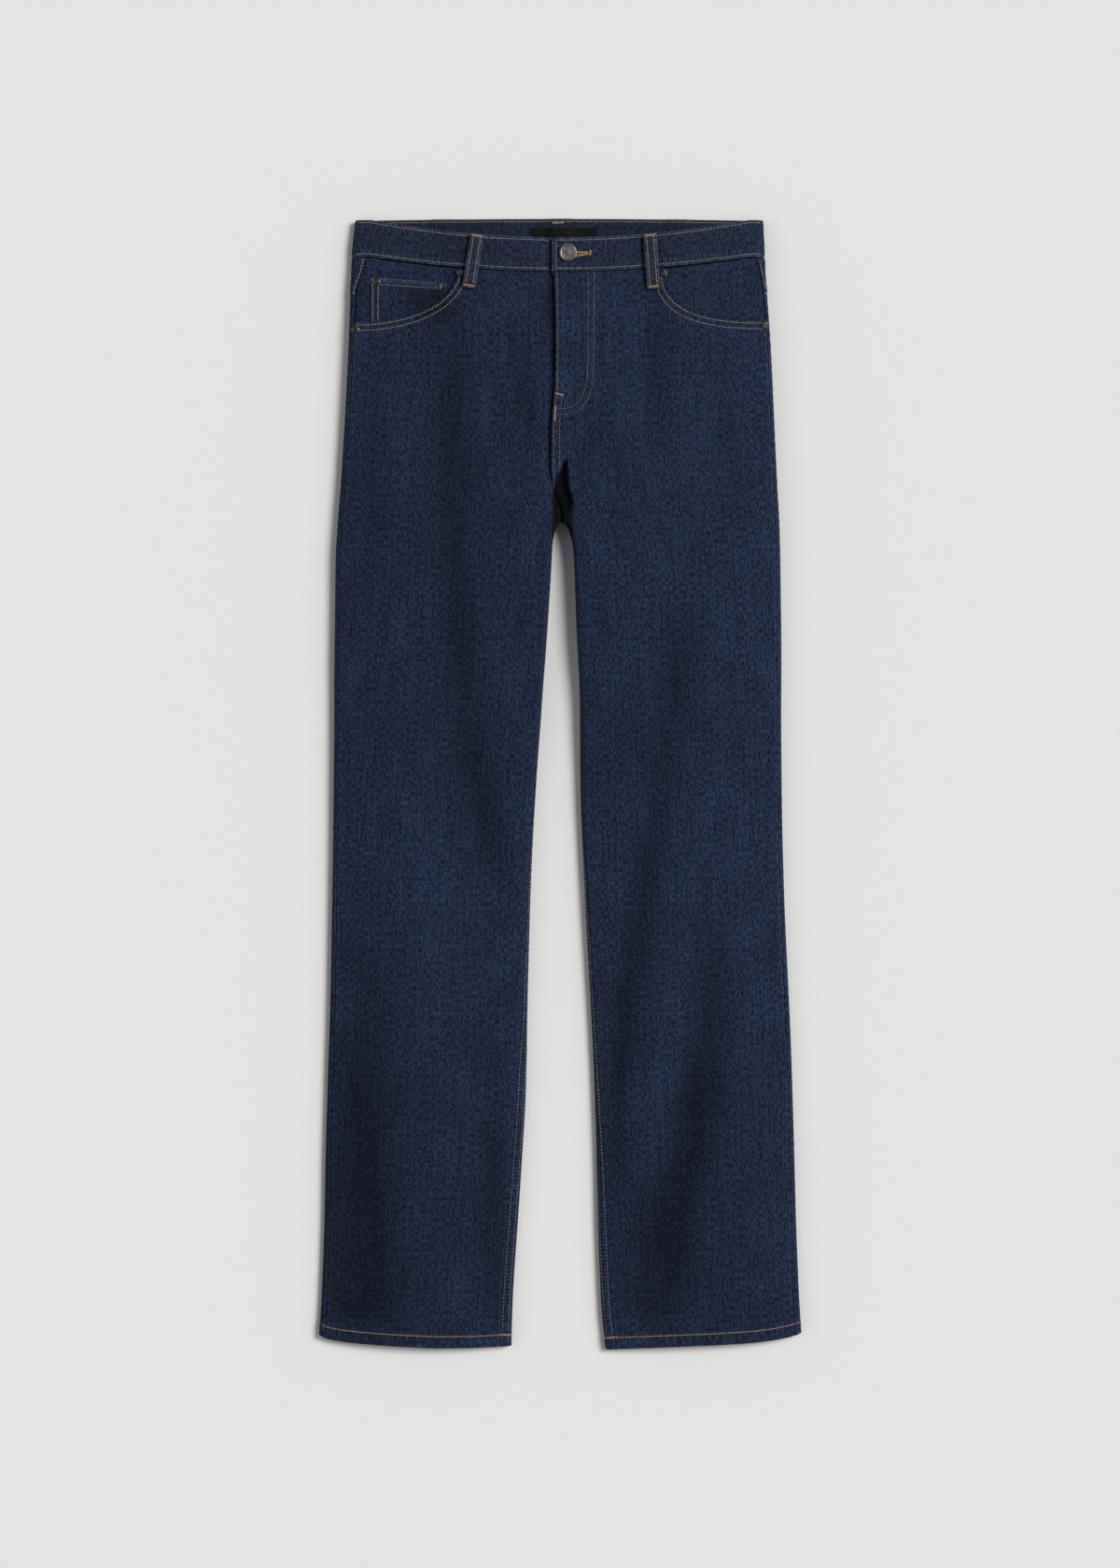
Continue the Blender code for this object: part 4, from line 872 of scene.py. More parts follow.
def frontRelief(p):
    side, y, x, row = p["side"], p["y"], p["x"], p["row"]
    settled = float(ease((row - garment["hemFoot"][side] - 15) / 22))
    height = settled * clothUnevenness(x, y) * ease(p["fromEnd"] / 20) * ease((p["fromStart"] + 4) / 20)
    edge, fade = seamEdge(p["fromEnd"], row + 0 * x, 21 + side, roll=0.75, pale=0.36)
    height = height + edge
    if row < garment["crotch"]:
        edge, more = seamEdge(p["fromStart"], row + 0 * x, 31 + side)
        height, fade = height + edge, fade + more
    elif side == left:
        share = ease((row - garment["crotch"]) / 25)
        edge, more = seamEdge(p["fromStart"], row + 0 * x, 41, 0.6, 0.16)
        height = height + share * (edge + 0.8 * (1 - ease((p["fromStart"] - 2) / 10)))
        fade = fade + share * (more + 0.35 * bump(p["fromStart"], 1.3))
        if row > 350:
            outer, inner = distanceTo(fly["outer"], x, y), distanceTo(fly["inner"], x, y)
            inside = (x < np.interp(y, [364, 367.4, 376.5, 391.5, 414, 600], [-5, 15.8, 25.7, 31.5, 33.2, 33.5])) * 1.0
            height = height + 0.3 * inside - 0.3 * bump(outer, 1.1) - 0.3 * bump(inner, 1.1)
            fade = fade + 0.12 * bump(outer - 1.6, 1.2) * (0.4 + 0.6 * patchNoise(y / 7, x / 7, 5))
    tuck = -0.7 * (1 - quarter((garment["panelTop"] - row) / 2.2)) if row > garment["panelTop"] - 2.2 else 0.0
    height = height + tuck
    if row > 440:
        m = distanceTo(mouthPaths[side], x, y)
        turned = 1 - ease((m - 9.5) / 1.5)
        puckers = ripple(x - y, 8.0, 51 + side)
        height = height + 0.32 * turned - 0.28 * (bump(m - 3.0, 0.9) + bump(m - 8.5, 0.9)) - 0.4 * (1 - quarter(m / 1.0))
        height = height + 0.12 * puckers * turned
        fade = fade + 0.34 * bump(m, 1.2) + 0.1 * turned * np.maximum(puckers, 0) + 0.08 * bump(m - 10, 1.2)
    hemHeight, hemFade = hemRelief(side, row, x)
    return height + hemHeight, fade + hemFade


def frontColumns(cut):
    start = cut.frontStart()
    if cut.side == right:
        start -= legs["flyTuck"] * float(ease((cut.y - 324) / 22))
    end = cut.sideSeam() - garment["seam"] / 2
    edge = legs["edge"]
    middle = np.linspace(start + edge[-1], end - edge[-1], 74)[1:-1]
    return np.concatenate([start + edge, middle, (end - edge)[::-1]])


def legRows(side, top):
    foot = garment["hemFoot"][side]
    return rowsThrough(
        (foot, foot + 2, 0.5), (foot + 2, foot + 15, 1.0), (foot + 15, 220, 3.4), (220, 250, 1.8), (250, 257.6, 0.7),
        (257.6, garment["crotch"], 0.28), (garment["crotch"], 260, 0.26), (260, 268, 1.0), (268, top, 1.7),
    )  # fmt: skip


def mouthCutter(side):
    # an upright block with the pocket mouth's outline
    bm = bmesh.new()
    beyond, above = mouth["centre"][side] + 25, mouth["top"] + 30
    outlinePoints = [(side * beyond, above), (side * beyond, mouth["top"] - mouth["depth"][side])]
    outlinePoints += mouthPath(side, 0.0, 60)[::-1]
    outlinePoints.append((side * (mouth["centre"][side] - mouth["width"][side]), above))
    corners = [bm.verts.new((x * mm, y * mm, -0.02)) for x, y in outlinePoints]
    face = bm.faces.new(corners)
    grown = bmesh.ops.extrude_face_region(bm, geom=[face])
    bmesh.ops.translate(bm, verts=[v for v in grown["geom"] if isinstance(v, bmesh.types.BMVert)], vec=(0, 0, 0.08))
    bmesh.ops.recalc_face_normals(bm, faces=bm.faces)
    return finishMesh("mouthCutter", bm, None)


def makeFrontLeg(side):
    name = sideNames[side]
    grid = sectionGrid(side, legRows(side, garment["panelTop"]), frontColumns, placeFront, frontRelief)
    obj = gridPiece(f"front_panel_{name}", grid, denim, garment["cloth"], flip=side == right)
    cutter = mouthCutter(side)
    cut = obj.modifiers.new("pocket mouth", "BOOLEAN")
    cut.object, cut.solver, cut.operation = cutter, "EXACT", "DIFFERENCE"
    applied(obj)
    bpy.data.objects.remove(cutter)
    return ride(obj, "denim", f"front_leg_{name}")


felled = {"width": 9.0, "rows": (1.8, 7.6)}


def felledRelief(distance, row, seed, stitched=1.0):
    # a felled seam: the cloth lies double beside the seam, sewn down in two rows
    wave = ripple(row, legs["seamWave"], seed)
    ridge = 0.42 * (1 - ease((distance - felled["width"]) / 1.2))
    sewn = sum(bump(distance - r, 0.9) for r in felled["rows"]) * stitched
    height = ridge - 0.3 * sewn - 0.45 * (1 - quarter(distance / 1.0)) + 0.22 * wave * bump(distance - 4.5, 5.5)
    fade = 0.16 * bump(distance, 1.3) + 0.1 * bump(distance - felled["width"], 1.2)
    fade = fade + 0.13 * np.maximum(wave, 0) * bump(distance - 4.5, 4.0)
    return height, fade * (0.5 + 0.5 * patchNoise(row / 7.0, 0 * distance, seed))


def backRelief(p):
    side, y, x, row = p["side"], p["y"], p["x"], p["row"]
    height = 0.4 * (patchNoise(p["arc"] / 30, y / 60, 61) - 0.5)
    row = row + 0 * x
    onHip = ease((p["row"] - 320) / 40)
    edge, fade = felledRelief(p["fromStart"], row, 71 + side, onHip)
    height = height + edge
    edge, more = felledRelief(p["fromEnd"], row, 81 + side)
    height, fade = height + edge, fade + more
    hemHeight, hemFade = hemRelief(side, p["row"], x)
    return height + hemHeight, fade + hemFade


def backColumns(cut):
    start = cut.sideSeam() + garment["seam"] / 2
    end = cut.underEnd()
    if cut.seated:
        flatEnd = float(cut.underArc(cut.side * centreBack(cut.y) + 16))
    else:
        flatEnd = end - 26
    flatStart = start + 26
    near = start + np.linspace(0, 26, 24)
    middle = np.linspace(flatStart, flatEnd, 34)[1:-1]
    last = np.linspace(flatEnd, end, 24)
    return np.concatenate([near, middle, last])


def makeBackLeg(side):
    name = sideNames[side]
    rows = legRows(side, garment["yokeSeam"] - garment["seam"] / 2)
    grid = sectionGrid(side, rows, backColumns, placeBack, backRelief)
    obj = gridPiece(f"back_panel_{name}", grid, denim, garment["cloth"], flip=side == right)
    return ride(obj, "denim", f"back_leg_{name}")


def yokeRelief(p):
    height, fade = backRelief({**p, "row": max(p["row"], 400)})
    above = p["row"] - garment["yokeSeam"]
    edge, more = felledRelief(above + 0 * p["x"], p["arc"], 91 + p["side"])
    return height + edge, fade + more


def makeYoke(side):
    name = sideNames[side]
    rows = rowsThrough((garment["yokeSeam"] + garment["seam"] / 2, garment["panelTop"], 1.2))
    grid = sectionGrid(side, rows, backColumns, placeBack, yokeRelief)
    obj = gridPiece(f"yoke_{name}", grid, denim, garment["cloth"], flip=side == right)
    return ride(obj, "denim", f"back_yoke_{name}")


fronts = {side: makeFrontLeg(side) for side in (right, left)}
backs = {side: makeBackLeg(side) for side in (right, left)}
yokes = {side: makeYoke(side) for side in (right, left)}
print("legs and yokes made")

# ---- pocket facings and the coin pocket ----

pockets = {
    "facingDepth": {right: 3.4, left: 1.8},
    "facingCloth": 1.0,
    "facingFoot": 430.0,
    "facingInner": 84.0,
    "coinCloth": 1.0,
    "coinClear": 0.6,
}
coin = {"side": 187.5, "inner": 112.0, "topSide": 502.0, "topInner": 495.5, "foot": 444.0}


def makeFacing(side):
    name = sideNames[side]
    deep = pockets["facingDepth"][side]

    def columns(cut):
        return np.linspace(float(cut.topArc(pockets["facingInner"])), cut.sideSeam() - garment["seam"] / 2, 60)

    def relief(p):
        m = distanceTo(mouthPaths[side], p["x"], p["y"])
        raised = max(0.0, deep - 1.8) * float(ease((p["row"] - 484) / 28))
        raised = raised + 1.1 * float(ease((p["row"] - 500) / 16)) * ease((m - 3) / 8)
        return raised - deep + 0.3 * clothUnevenness(p["x"] + 300, p["y"]), 0.03 - 0.25 * bump(m, 6.0)

    rows = rowsThrough((pockets["facingFoot"], garment["panelTop"] - 0.7, 2.2))
    grid = sectionGrid(side, rows, columns, placeFront, relief)
    obj = gridPiece(f"facing_{name}", grid, denim, pockets["facingCloth"], flip=side == right)
    return ride(obj, "denim", f"pocket_facing_{name}")


def skinOf(obj):
    return BVHTree.FromPolygons([v.co.copy() for v in obj.data.vertices], [tuple(p.vertices) for p in obj.data.polygons])


def dropOnto(skins, x, y, fromBelow=False):
    # the first point of these skins met from above or below at x, y in millimetres, and its direction
    start, way = (-0.1, 1) if fromBelow else (0.2, -1)
    found = None
    for skin in skins:
        place, normal, _, _ = skin.ray_cast(Vector((x * mm, y * mm, start)), Vector((0, 0, way)))
        if place is not None and (found is None or (place.z > found[0].z) != fromBelow):
            found = (place, normal)
    return found and (found[0] / mm, found[1])


facings = {side: makeFacing(side) for side in (right, left)}
facingSkin = skinOf(facings[right])


def patchGrid(corner, rows, columns, skins, above, relief):
    # A piece that lies on others: corner(u, v) gives its x and y, and it follows what is under it
    keep = {key: np.zeros((rows, columns)) for key in ("x", "y", "z", "u", "v", "fade", "shade")}
    for i in range(rows):
        for j in range(columns):
            u, v = j / (columns - 1), i / (rows - 1)
            x, y = corner(u, v)
            hit = dropOnto(skins, x, y)
            place, normal = hit if hit else (Vector((x, y, 12.0)), Vector((0, 0, 1)))
            height, fade = relief(u, v, x, y)
            # the same painted shade as the fronts, which darkens the coin pocket's hollow
            keep["shade"][i, j] = shadeAt(x, y)
            place = place + normal * (above + height)
            keep["x"][i, j], keep["y"][i, j], keep["z"][i, j] = place
            keep["u"][i, j], keep["v"][i, j], keep["fade"][i, j] = x, y, fade
    for _ in range(2):  # even out the steps of what lies underneath
        for key in ("x", "y", "z"):
            grid = keep[key]
            grid[1:-1, 1:-1] = 0.4 * grid[1:-1, 1:-1] + 0.15 * (grid[2:, 1:-1] + grid[:-2, 1:-1] + grid[1:-1, 2:] + grid[1:-1, :-2])
    return keep


def coinCorner(u, v):
    top = coin["topInner"] + (coin["topSide"] - coin["topInner"]) * u
    return -(coin["inner"] + (coin["side"] - coin["inner"]) * u), coin["foot"] + (top - coin["foot"]) * v


def coinRelief(u, v, x, y):
    fromSide, fromInner = (1 - u) * 75, u * 75
    fromTop = (1 - v) * 55
    edge = min(fromSide, fromInner, fromTop)
    height = -0.5 * (1 - float(quarter(edge / 1.2)))
    for line in (2.0, 7.3):
        height -= 0.22 * (float(bump(fromSide - line, 0.9)) + float(bump(fromInner - line, 0.9)))
    height -= 0.25 * float(bump(fromTop - 6.5, 0.9))
    fade = 0.3 * float(bump(edge, 1.4)) + 0.5 * float(bump(fromTop - 1, 2.4)) + 0.12 * float(bump(fromTop - 4, 2.5)) * float(max(0, ripple(x, 7.0, 5)))
    return height + 0.1 * float(ripple(x + y, 8.0, 6)) * float(bump(edge, 8)), fade


grid = patchGrid(coinCorner, 36, 48, [facingSkin], pockets["coinClear"] + pockets["coinCloth"], coinRelief)
coinPocket = gridPiece("coin_pocket_patch", grid, denim, pockets["coinCloth"], flip=True)
ride(coinPocket, "denim", "coin_pocket")
print("pockets made")

# ---- the waistband ----


def bandRelief(p):
    low, high = p["row"] - garment["waistSeam"], garment["bandTop"] - p["row"]
    inset = band["stitchInset"]
    wave = ripple(p["arc"], 6.5, 101 + p["side"])
    height = -0.8 * (1 - quarter(low / 1.5)) - 0.8 * (1 - quarter(high / 1.5))
    height = height - 0.26 * (bump(low - inset, 0.9) + bump(high - inset, 0.9))
    height = height + 0.2 * wave * (bump(low, 7) + bump(high, 7))
    height = height + 0.5 * (patchNoise(p["arc"] / 34, p["row"] / 14 + 0 * p["x"], 102) - 0.5)
    fade = 0.6 * (bump(low, 1.5) + bump(high, 1.5)) * (0.45 + 0.55 * patchNoise(p["arc"] / 6, 0 * p["x"], 103))
    fade = fade + 0.2 * np.maximum(wave, -0.2) * (bump(low - 4, 5) + bump(high - 4, 5))
    if p["side"] == left:
        height = height - 0.8 * (1 - quarter(p["fromStart"] / 1.5)) - 0.26 * bump(p["fromStart"] - 5.0, 0.9)
        fade = fade + 0.4 * bump(p["fromStart"], 1.5)
    return height, fade


def bandColumns(cut):
    end = cut.sideArc + band["wrap"] - garment["seam"] / 2
    if cut.side == right:
        start = garment["seam"] / 2 - band["tuck"]
        return np.linspace(start, end, 118)
    edge = edgeSteps(0.4, 0.5, 0.6, 0.8, 1.0, 1.2, 1.5)
    return np.concatenate([edge, np.linspace(edge[-1], end, 108)[1:]])


bandRows = rowsThrough(
    (garment["waistSeam"], garment["waistSeam"] + 4, 0.8),
    (garment["waistSeam"] + 4, garment["bandTop"] - 4, 1.7),
    (garment["bandTop"] - 4, garment["bandTop"], 0.8),
)
bands = {}
for side in (right, left):
    grid = sectionGrid(side, bandRows, bandColumns, placeBand, bandRelief, band["proud"])
    bands[side] = gridPiece(f"band_front_{sideNames[side]}", grid, bandDenim, band["cloth"], flip=side == right)
    ride(bands[side], "denim", f"waistband_front_{sideNames[side]}")


def makeBandBack():
    # its inner face is uppermost, and it lies on the floor
    ends = {}
    for side in (right, left):
        cut = Section(side, 540.0, band["proud"])
        ends[side] = side * (float(cut.at(cut.sideArc + band["wrap"])[0]) - garment["seam"] / 2)
    xs = np.linspace(ends[right], ends[left], 200)
    keep = {key: [] for key in ("x", "y", "z", "u", "v", "fade")}
    for row in bandRows:
        v = (row - garment["waistSeam"]) / (garment["bandTop"] - garment["waistSeam"])
        low, high = row - garment["waistSeam"], garment["bandTop"] - row
        wave = ripple(xs, 6.5, 111)
        height = -0.7 * (1 - float(quarter(low / 1.5))) - 0.7 * (1 - float(quarter(high / 1.5)))
        height = height - 0.24 * (float(bump(low - 2.8, 0.9)) + float(bump(high - 2.8, 0.9))) + 0.12 * wave
        y = row + v * garment["backRise"] * np.maximum(0, 1 - (xs / sideEdge[left](row)) ** 2)
        keep["x"].append(xs)
        keep["y"].append(y)
        keep["z"].append(band["cloth"] + liftAt(xs, row) + height)
        keep["u"].append(xs)
        keep["v"].append(y)
        keep["fade"].append(0.04 + 0.35 * float(bump(high, 1.4)) + 0.1 * np.maximum(wave, 0) * float(bump(high, 5)))
    grid = {key: np.array(value) for key, value in keep.items()}
    obj = gridPiece("band_back", grid, insideDenim, band["cloth"] - 0.1)
    return ride(obj, "denim", "waistband_back")


bandBack = makeBandBack()
backBandSkin = skinOf(bandBack)
print("waistband made")

# ---- the label inside the back of the waistband ----

label = {"x": 3.7, "width": 66.0, "top": 551.5, "foot": 527.0, "cloth": 0.6}


def makeLabel():
    half = label["width"] / 2

    def corner(u, v):
        return label["x"] - half + 2 * half * u, label["foot"] + (label["top"] - label["foot"]) * v

    def relief(u, v, x, y):
        edge = min(u, 1 - u) * label["width"]
        return -0.2 * (1 - float(quarter(edge / 0.8))) + 0.12 * math.sin(x / 6.0) * v, 0.0

    grid = patchGrid(corner, 16, 44, [backBandSkin], garment["seam"] + label["cloth"], relief)
    obj = gridPiece("label_blank", grid, labelCloth, label["cloth"])
    return ride(obj, "label", "waist_label")


labelPiece = makeLabel()

# ---- belt loops ----

loops = {
    "width": 11.5,
    "cloth": 1.6,
    "bow": 1.3,
    "right": {"top": (-81.6, 543.0), "foot": (-90.0, 491.0)},
    "left": {"top": (88.7, 543.5), "foot": (92.6, 490.0)},
}


def makeLoop(side):
    name = sideNames[side]
    (x0, y0), (x1, y1) = loops[name]["top"], loops[name]["foot"]
    along = Vector((x1 - x0, y1 - y0, 0))
    length = along.length
    across = Vector((-along.y, along.x, 0)).normalized() * -1
    skins = [skinOf(fronts[side]), skinOf(bands[side]), skinOf(facings[side])]
    rows, columns, half = 56, 15, loops["width"] / 2

    def baseAt(s, t):
        x, y = x0 + along.x * s + across.x * t, y0 + along.y * s + across.y * t
        heights = [dropOnto(skins, x, y + dy) for dy in (-0.8, 0, 0.8)]
        return x, y, max(hit[0].z for hit in heights if hit)

    steps = np.linspace(0, 1, 29)
    levels = np.array([max(baseAt(s, t)[2] for t in (-half, 0, half)) for s in steps])
    smooth = levels.copy()
    for i in range(len(levels)):
        smooth[i] = levels[max(0, i - 3) : i + 4].max() * 0.7 + levels[i] * 0.3
    keep = {key: np.zeros((rows, columns)) for key in ("x", "y", "z", "u", "v", "fade")}
    for i in range(rows):
        s = 1 - i / (rows - 1)  # rows rise from the foot
        bow = loops["bow"] * math.sin(math.pi * s) ** 0.6 if 0 < s < 1 else 0.0
        level = float(np.interp(s, steps, smooth))
        for j in range(columns):
            t = -half + loops["width"] * j / (columns - 1)
            x, y = x0 + along.x * s + across.x * t, y0 + along.y * s + across.y * t
            edge = half - abs(t)
            ends = min(s, 1 - s) * length
            height = -0.55 * (1 - float(quarter(edge / 1.3))) - 0.2 * float(bump(edge - 2.2, 0.7))
            height += 0.12 * float(ripple(s * length, 6.0, 121 + side)) - 0.5 * (1 - float(quarter(ends / 1.4)))
            height += 0.2 * float(bump(t, 1.6))
            keep["x"][i, j], keep["y"][i, j] = x, y
            keep["z"][i, j] = level + garment["seam"] + bow + loops["cloth"] + height
            keep["u"][i, j], keep["v"][i, j] = t, s * length
            wave = max(0.0, float(ripple(s * length, 6.0, 121 + side)))
            keep["fade"][i, j] = 0.5 * float(bump(edge, 1.2)) + 0.3 * float(bump(ends, 1.5)) + 0.2 * wave + 0.1 * float(bump(t, 1.5))
    obj = gridPiece(f"loop_front_{name}", keep, bandDenim, loops["cloth"] - 0.1, flip=False)
    return ride(obj, "denim", f"belt_loop_front_{name}")


beltLoops = {side: makeLoop(side) for side in (right, left)}
print("belt loops made")

# ---- sewing ----

sewing = {
    "pitch": 3.0,
    "stitch": 2.15,
    "radius": 0.36,
    "bulge": 0.26,
    "tackPitch": 0.5,
    "tackRadius": 0.24,
    "hemEnds": {right: (-54.5, -545.6), left: (50.6, -548.4)},
}
rng = np.random.default_rng(17)


def threadPiece(name, splines, radius, material):
    # splines are lists of (point, thickness), made as one bevelled curve and then a mesh
    curve = bpy.data.curves.new(name, "CURVE")
    curve.dimensions = "3D"
    curve.bevel_depth = radius * mm
    curve.bevel_resolution = 1
    curve.use_fill_caps = True
    for points in splines:
        spline = curve.splines.new("POLY")
        spline.points.add(len(points) - 1)
        for target, (place, thickness) in zip(spline.points, points):
            target.co = (place[0] * mm, place[1] * mm, place[2] * mm, 1)
            target.radius = thickness
    drawn = bpy.data.objects.new(name + "_curve", curve)
    bpy.context.scene.collection.objects.link(drawn)
    bpy.context.view_layer.update()
    mesh = bpy.data.meshes.new_from_object(drawn.evaluated_get(bpy.context.evaluated_depsgraph_get()))
    bpy.data.objects.remove(drawn)
    bm = bmesh.new()
    bm.from_mesh(mesh)
    bpy.data.meshes.remove(mesh)
    bmesh.ops.remove_doubles(bm, verts=bm.verts, dist=1e-6)
    obj = finishMesh(name, bm, material, 60)
    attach(obj, "root")
    return obj


def trackOver(path, skins, fromBelow=False, step=1.0):
    # a line of (x, y) points laid onto the cloth: points and outward directions
    path = np.array(path, float)
    lengths = np.concatenate([[0], np.cumsum(np.hypot(*np.diff(path, axis=0).T))])
    stops = np.linspace(0, lengths[-1], max(2, int(lengths[-1] / step)))
    places, ways = [], []
    for s in stops:
        x, y = np.interp(s, lengths, path[:, 0]), np.interp(s, lengths, path[:, 1])
        hit = dropOnto(skins, x, y, fromBelow)
        if hit:
            places.append(hit[0])
            ways.append(hit[1])
    return np.array(places), np.array(ways)


def trackAlong(side, rows, arcOf, place, height=0.0):
    # a line that keeps to the cuts: arcOf(section) gives where on each
    places, ways = [], []
    for y in rows:
        cut = Section(side, y)
        q, z, nq, nz = cut.at(arcOf(cut))
        x, placedY, placedZ = place(side, q, z, y)
        way = np.array([side * float(nq), 0.0, float(nz)])
        places.append(np.array([float(x), float(placedY), float(placedZ)]) + way * height)
        ways.append(way)
    return np.array(places), np.array(ways)


def stitches(track, pitch=None, length=None, sink=0.0):
    # splines for a row of stitches along a track
    places, ways = track
    if len(places) < 3:
        return []
    pitch, length = pitch or sewing["pitch"], length or sewing["stitch"]
    run = np.concatenate([[0], np.cumsum(np.linalg.norm(np.diff(places, axis=0), axis=1))])
    made = []
    for k in range(int((run[-1] - length) / pitch) + 1):
        start = k * pitch + rng.normal(0, 0.07)
        size = length * (1 + rng.normal(0, 0.04))
        points = []
        for share, up, thick in ((0, -0.28, 0.6), (0.18, 0.75, 1.0), (0.82, 0.75, 1.0), (1, -0.28, 0.6)):
            s = start + share * size
            p = np.array([np.interp(s, run, places[:, i]) for i in range(3)])
            n = np.array([np.interp(s, run, ways[:, i]) for i in range(3)])
            points.append((p + n * (up * sewing["bulge"] - sink) , thick))
        made.append(points)
    return made


def tack(centre, direction, length, width, skins, fromBelow=False):
    # a bar tack: close stitches side by side across a short line
    direction = Vector((*direction, 0)).normalized()
    across = Vector((-direction.y, direction.x, 0))
    made = []
    for k in range(int(length / sewing["tackPitch"])):
        s = (k + 0.5) * sewing["tackPitch"] - length / 2
        points = []
        for t, up, thick in ((-0.5, -0.15, 0.7), (-0.25, 0.25, 1.0), (0.25, 0.25, 1.0), (0.5, -0.15, 0.7)):
            slant = 0.35 * t * (1 if k % 2 else -1)
            x = centre[0] + direction.x * (s + slant) + across.x * t * width
            y = centre[1] + direction.y * (s + slant) + across.y * t * width
            hit = dropOnto(skins, x, y, fromBelow)
            if hit:
                points.append((np.array(hit[0]) + np.array(hit[1]) * up, thick))
        if len(points) == 4:
            made.append(points)
    return made


frontSkins = {side: skinOf(fronts[side]) for side in (right, left)}
backSkins = {side: skinOf(backs[side]) for side in (right, left)}
bandSkins = {side: skinOf(bands[side]) for side in (right, left)}
loopSkins = {side: skinOf(beltLoops[side]) for side in (right, left)}
bothFronts = [frontSkins[right], frontSkins[left]]
allBands = [bandSkins[right], bandSkins[left]]
tan, fine, orange, inner, hems = [], [], [], [], []


def bandPath(rowInset, fromTop, x0, x1):
    # a line at a set distance inside the band's upper or lower edge
    path = []
    for x in np.linspace(x0, x1, 60):
        if fromTop:
            y = garment["bandTop"] - rowInset - garment["topDip"] * float(waistDip(x))
        else:
            y = garment["waistSeam"] + rowInset - garment["seamDip"] * float(waistDip(x))
        path.append((x, y))
    return path


# waistband: a row inside each edge, and up its overlapping end
for fromTop in (False, True):
    tan += stitches(trackOver(bandPath(band["stitchInset"], fromTop, -201, -10.5), allBands))
    tan += stitches(trackOver(bandPath(band["stitchInset"], fromTop, -3.6, 199), allBands))
tan += stitches(trackOver([(-3.8, 509.5), (-3.8, 537.5)], allBands))
tan += stitches(trackOver([(x, garment["bandTop"] - 2.8 + 2 * max(0, 1 - (x / 201) ** 2)) for x in np.linspace(-185, 185, 60)], [backBandSkin]))

# fly: two curved rows, one by its edge, and two down the seam below it
edgeRow = [(flyX(y) + 2.2, y) for y in np.linspace(505, 388, 30)]
for path in (fly["outer"], fly["inner"], edgeRow, [(-4.9, 383), (-4.9, 373)], [(1.6, 383), (1.2, 372)]):
    fine += stitches(trackOver(path, bothFronts), 3.0, 1.9)
for inset, top in ((2.2, 364), (7.8, 362)):
    fine += stitches(trackOver([(flyX(y) + inset, y) for y in np.linspace(top, 296 + 1.5 * inset, 30)], bothFronts), 3.2, 1.7)

# pocket mouths and the coin pocket
for side in (right, left):
    for inset in (3.0, 8.5):
        tan += stitches(trackOver(mouthPath(side, inset, 60, 3.0, 90), [frontSkins[side]]))
coinSkin = skinOf(coinPocket)
for inset in (2.0, 7.3):
    tan += stitches(trackOver([coinCorner(1 - inset / 75, 0.16), coinCorner(1 - inset / 75, 0.985)], [coinSkin]))
orange += stitches(trackOver([coinCorner(0.1, 1 - 6.5 / 55), coinCorner(0.9, 1 - 6.5 / 55)], [coinSkin]))

# belt loops: a row by each edge
for side in (right, left):
    (x0, y0), (x1, y1) = loops[sideNames[side]]["top"], loops[sideNames[side]]["foot"]
    way = np.array([x1 - x0, y1 - y0]) / math.hypot(x1 - x0, y1 - y0)
    across = np.array([-way[1], way[0]])
    for t in (-3.4, 3.4):
        start, end = np.array([x0, y0]) + way * 2.4 + across * t, np.array([x1, y1]) - way * 2.4 + across * t
        tan += stitches(trackOver([start, end], [loopSkins[side]]), 2.9, 2.2)
    for place, shift in (((x0, y0), 1.4), ((x1, y1), -1.4)):
        orange += tack(np.array(place) + way * shift, across, 10.2, 1.9, [loopSkins[side]])
orange += tack((-1.8, 556.5), (1, 0.05), 11.0, 1.8, [backBandSkin])
orange += tack((-0.6, 384.8), (1, -0.26), 8.6, 1.8, bothFronts)
orange += tack((-5.0, 366.0), (0.06, 1), 15.0, 1.6, bothFronts)

# seams that show beside the folded edges, and the hems
for side in (right, left):
    for inset in felled["rows"]:
        rows = rowsThrough((garment["hemFoot"][side] + 1.5, 255, 2.0))
        inner += stitches(trackAlong(side, rows, lambda cut, d=inset: cut.underEnd() - d, placeBack, 0.05), 3.5, 1.7)
    rows = rowsThrough((garment["yokeSeam"] + 2, garment["panelTop"] - 1, 2.0))
    tan += stitches(trackAlong(side, rows, lambda cut: cut.sideSeam() + felled["rows"][0], placeBack, 0.05))
    # the yoke's seam runs round the side fold and on underneath
    for above in felled["rows"]:
        row = garment["yokeSeam"] + above
        cut = Section(side, row)
        arcs = np.arange(cut.sideSeam() + 1.0, cut.underEnd() - 1.0, 1.5)
        q, z, nq, nz = cut.at(arcs)
        x, y, z = placeBack(side, q, z, row)
        places = np.stack([x + side * nq * 0.05, y, z + nz * 0.05], axis=1)
        tan += stitches((places, np.stack([side * nq, 0 * nq, nz], axis=1)), sink=0.0)
    row = garment["hemFoot"][side] + 11.6
    cut = Section(side, row)
    arcs = np.arange(cut.frontStart() + 0.5, cut.underEnd() - 0.5, 1.5)
    q, z, nq, nz = cut.at(arcs)
    x, y, z = placeFront(side, q, z, row)
    places = np.stack([x + side * nq * 0.3, y, z + nz * 0.3], axis=1)
    hems += stitches((places, np.stack([side * nq, 0 * nq, nz], axis=1)), 3.0, 2.6)
    x0, y0 = sewing["hemEnds"][side]
    orange += tack((x0, y0), (1, 0.06 * side), 11.5, 1.9, [frontSkins[side], backSkins[side]])

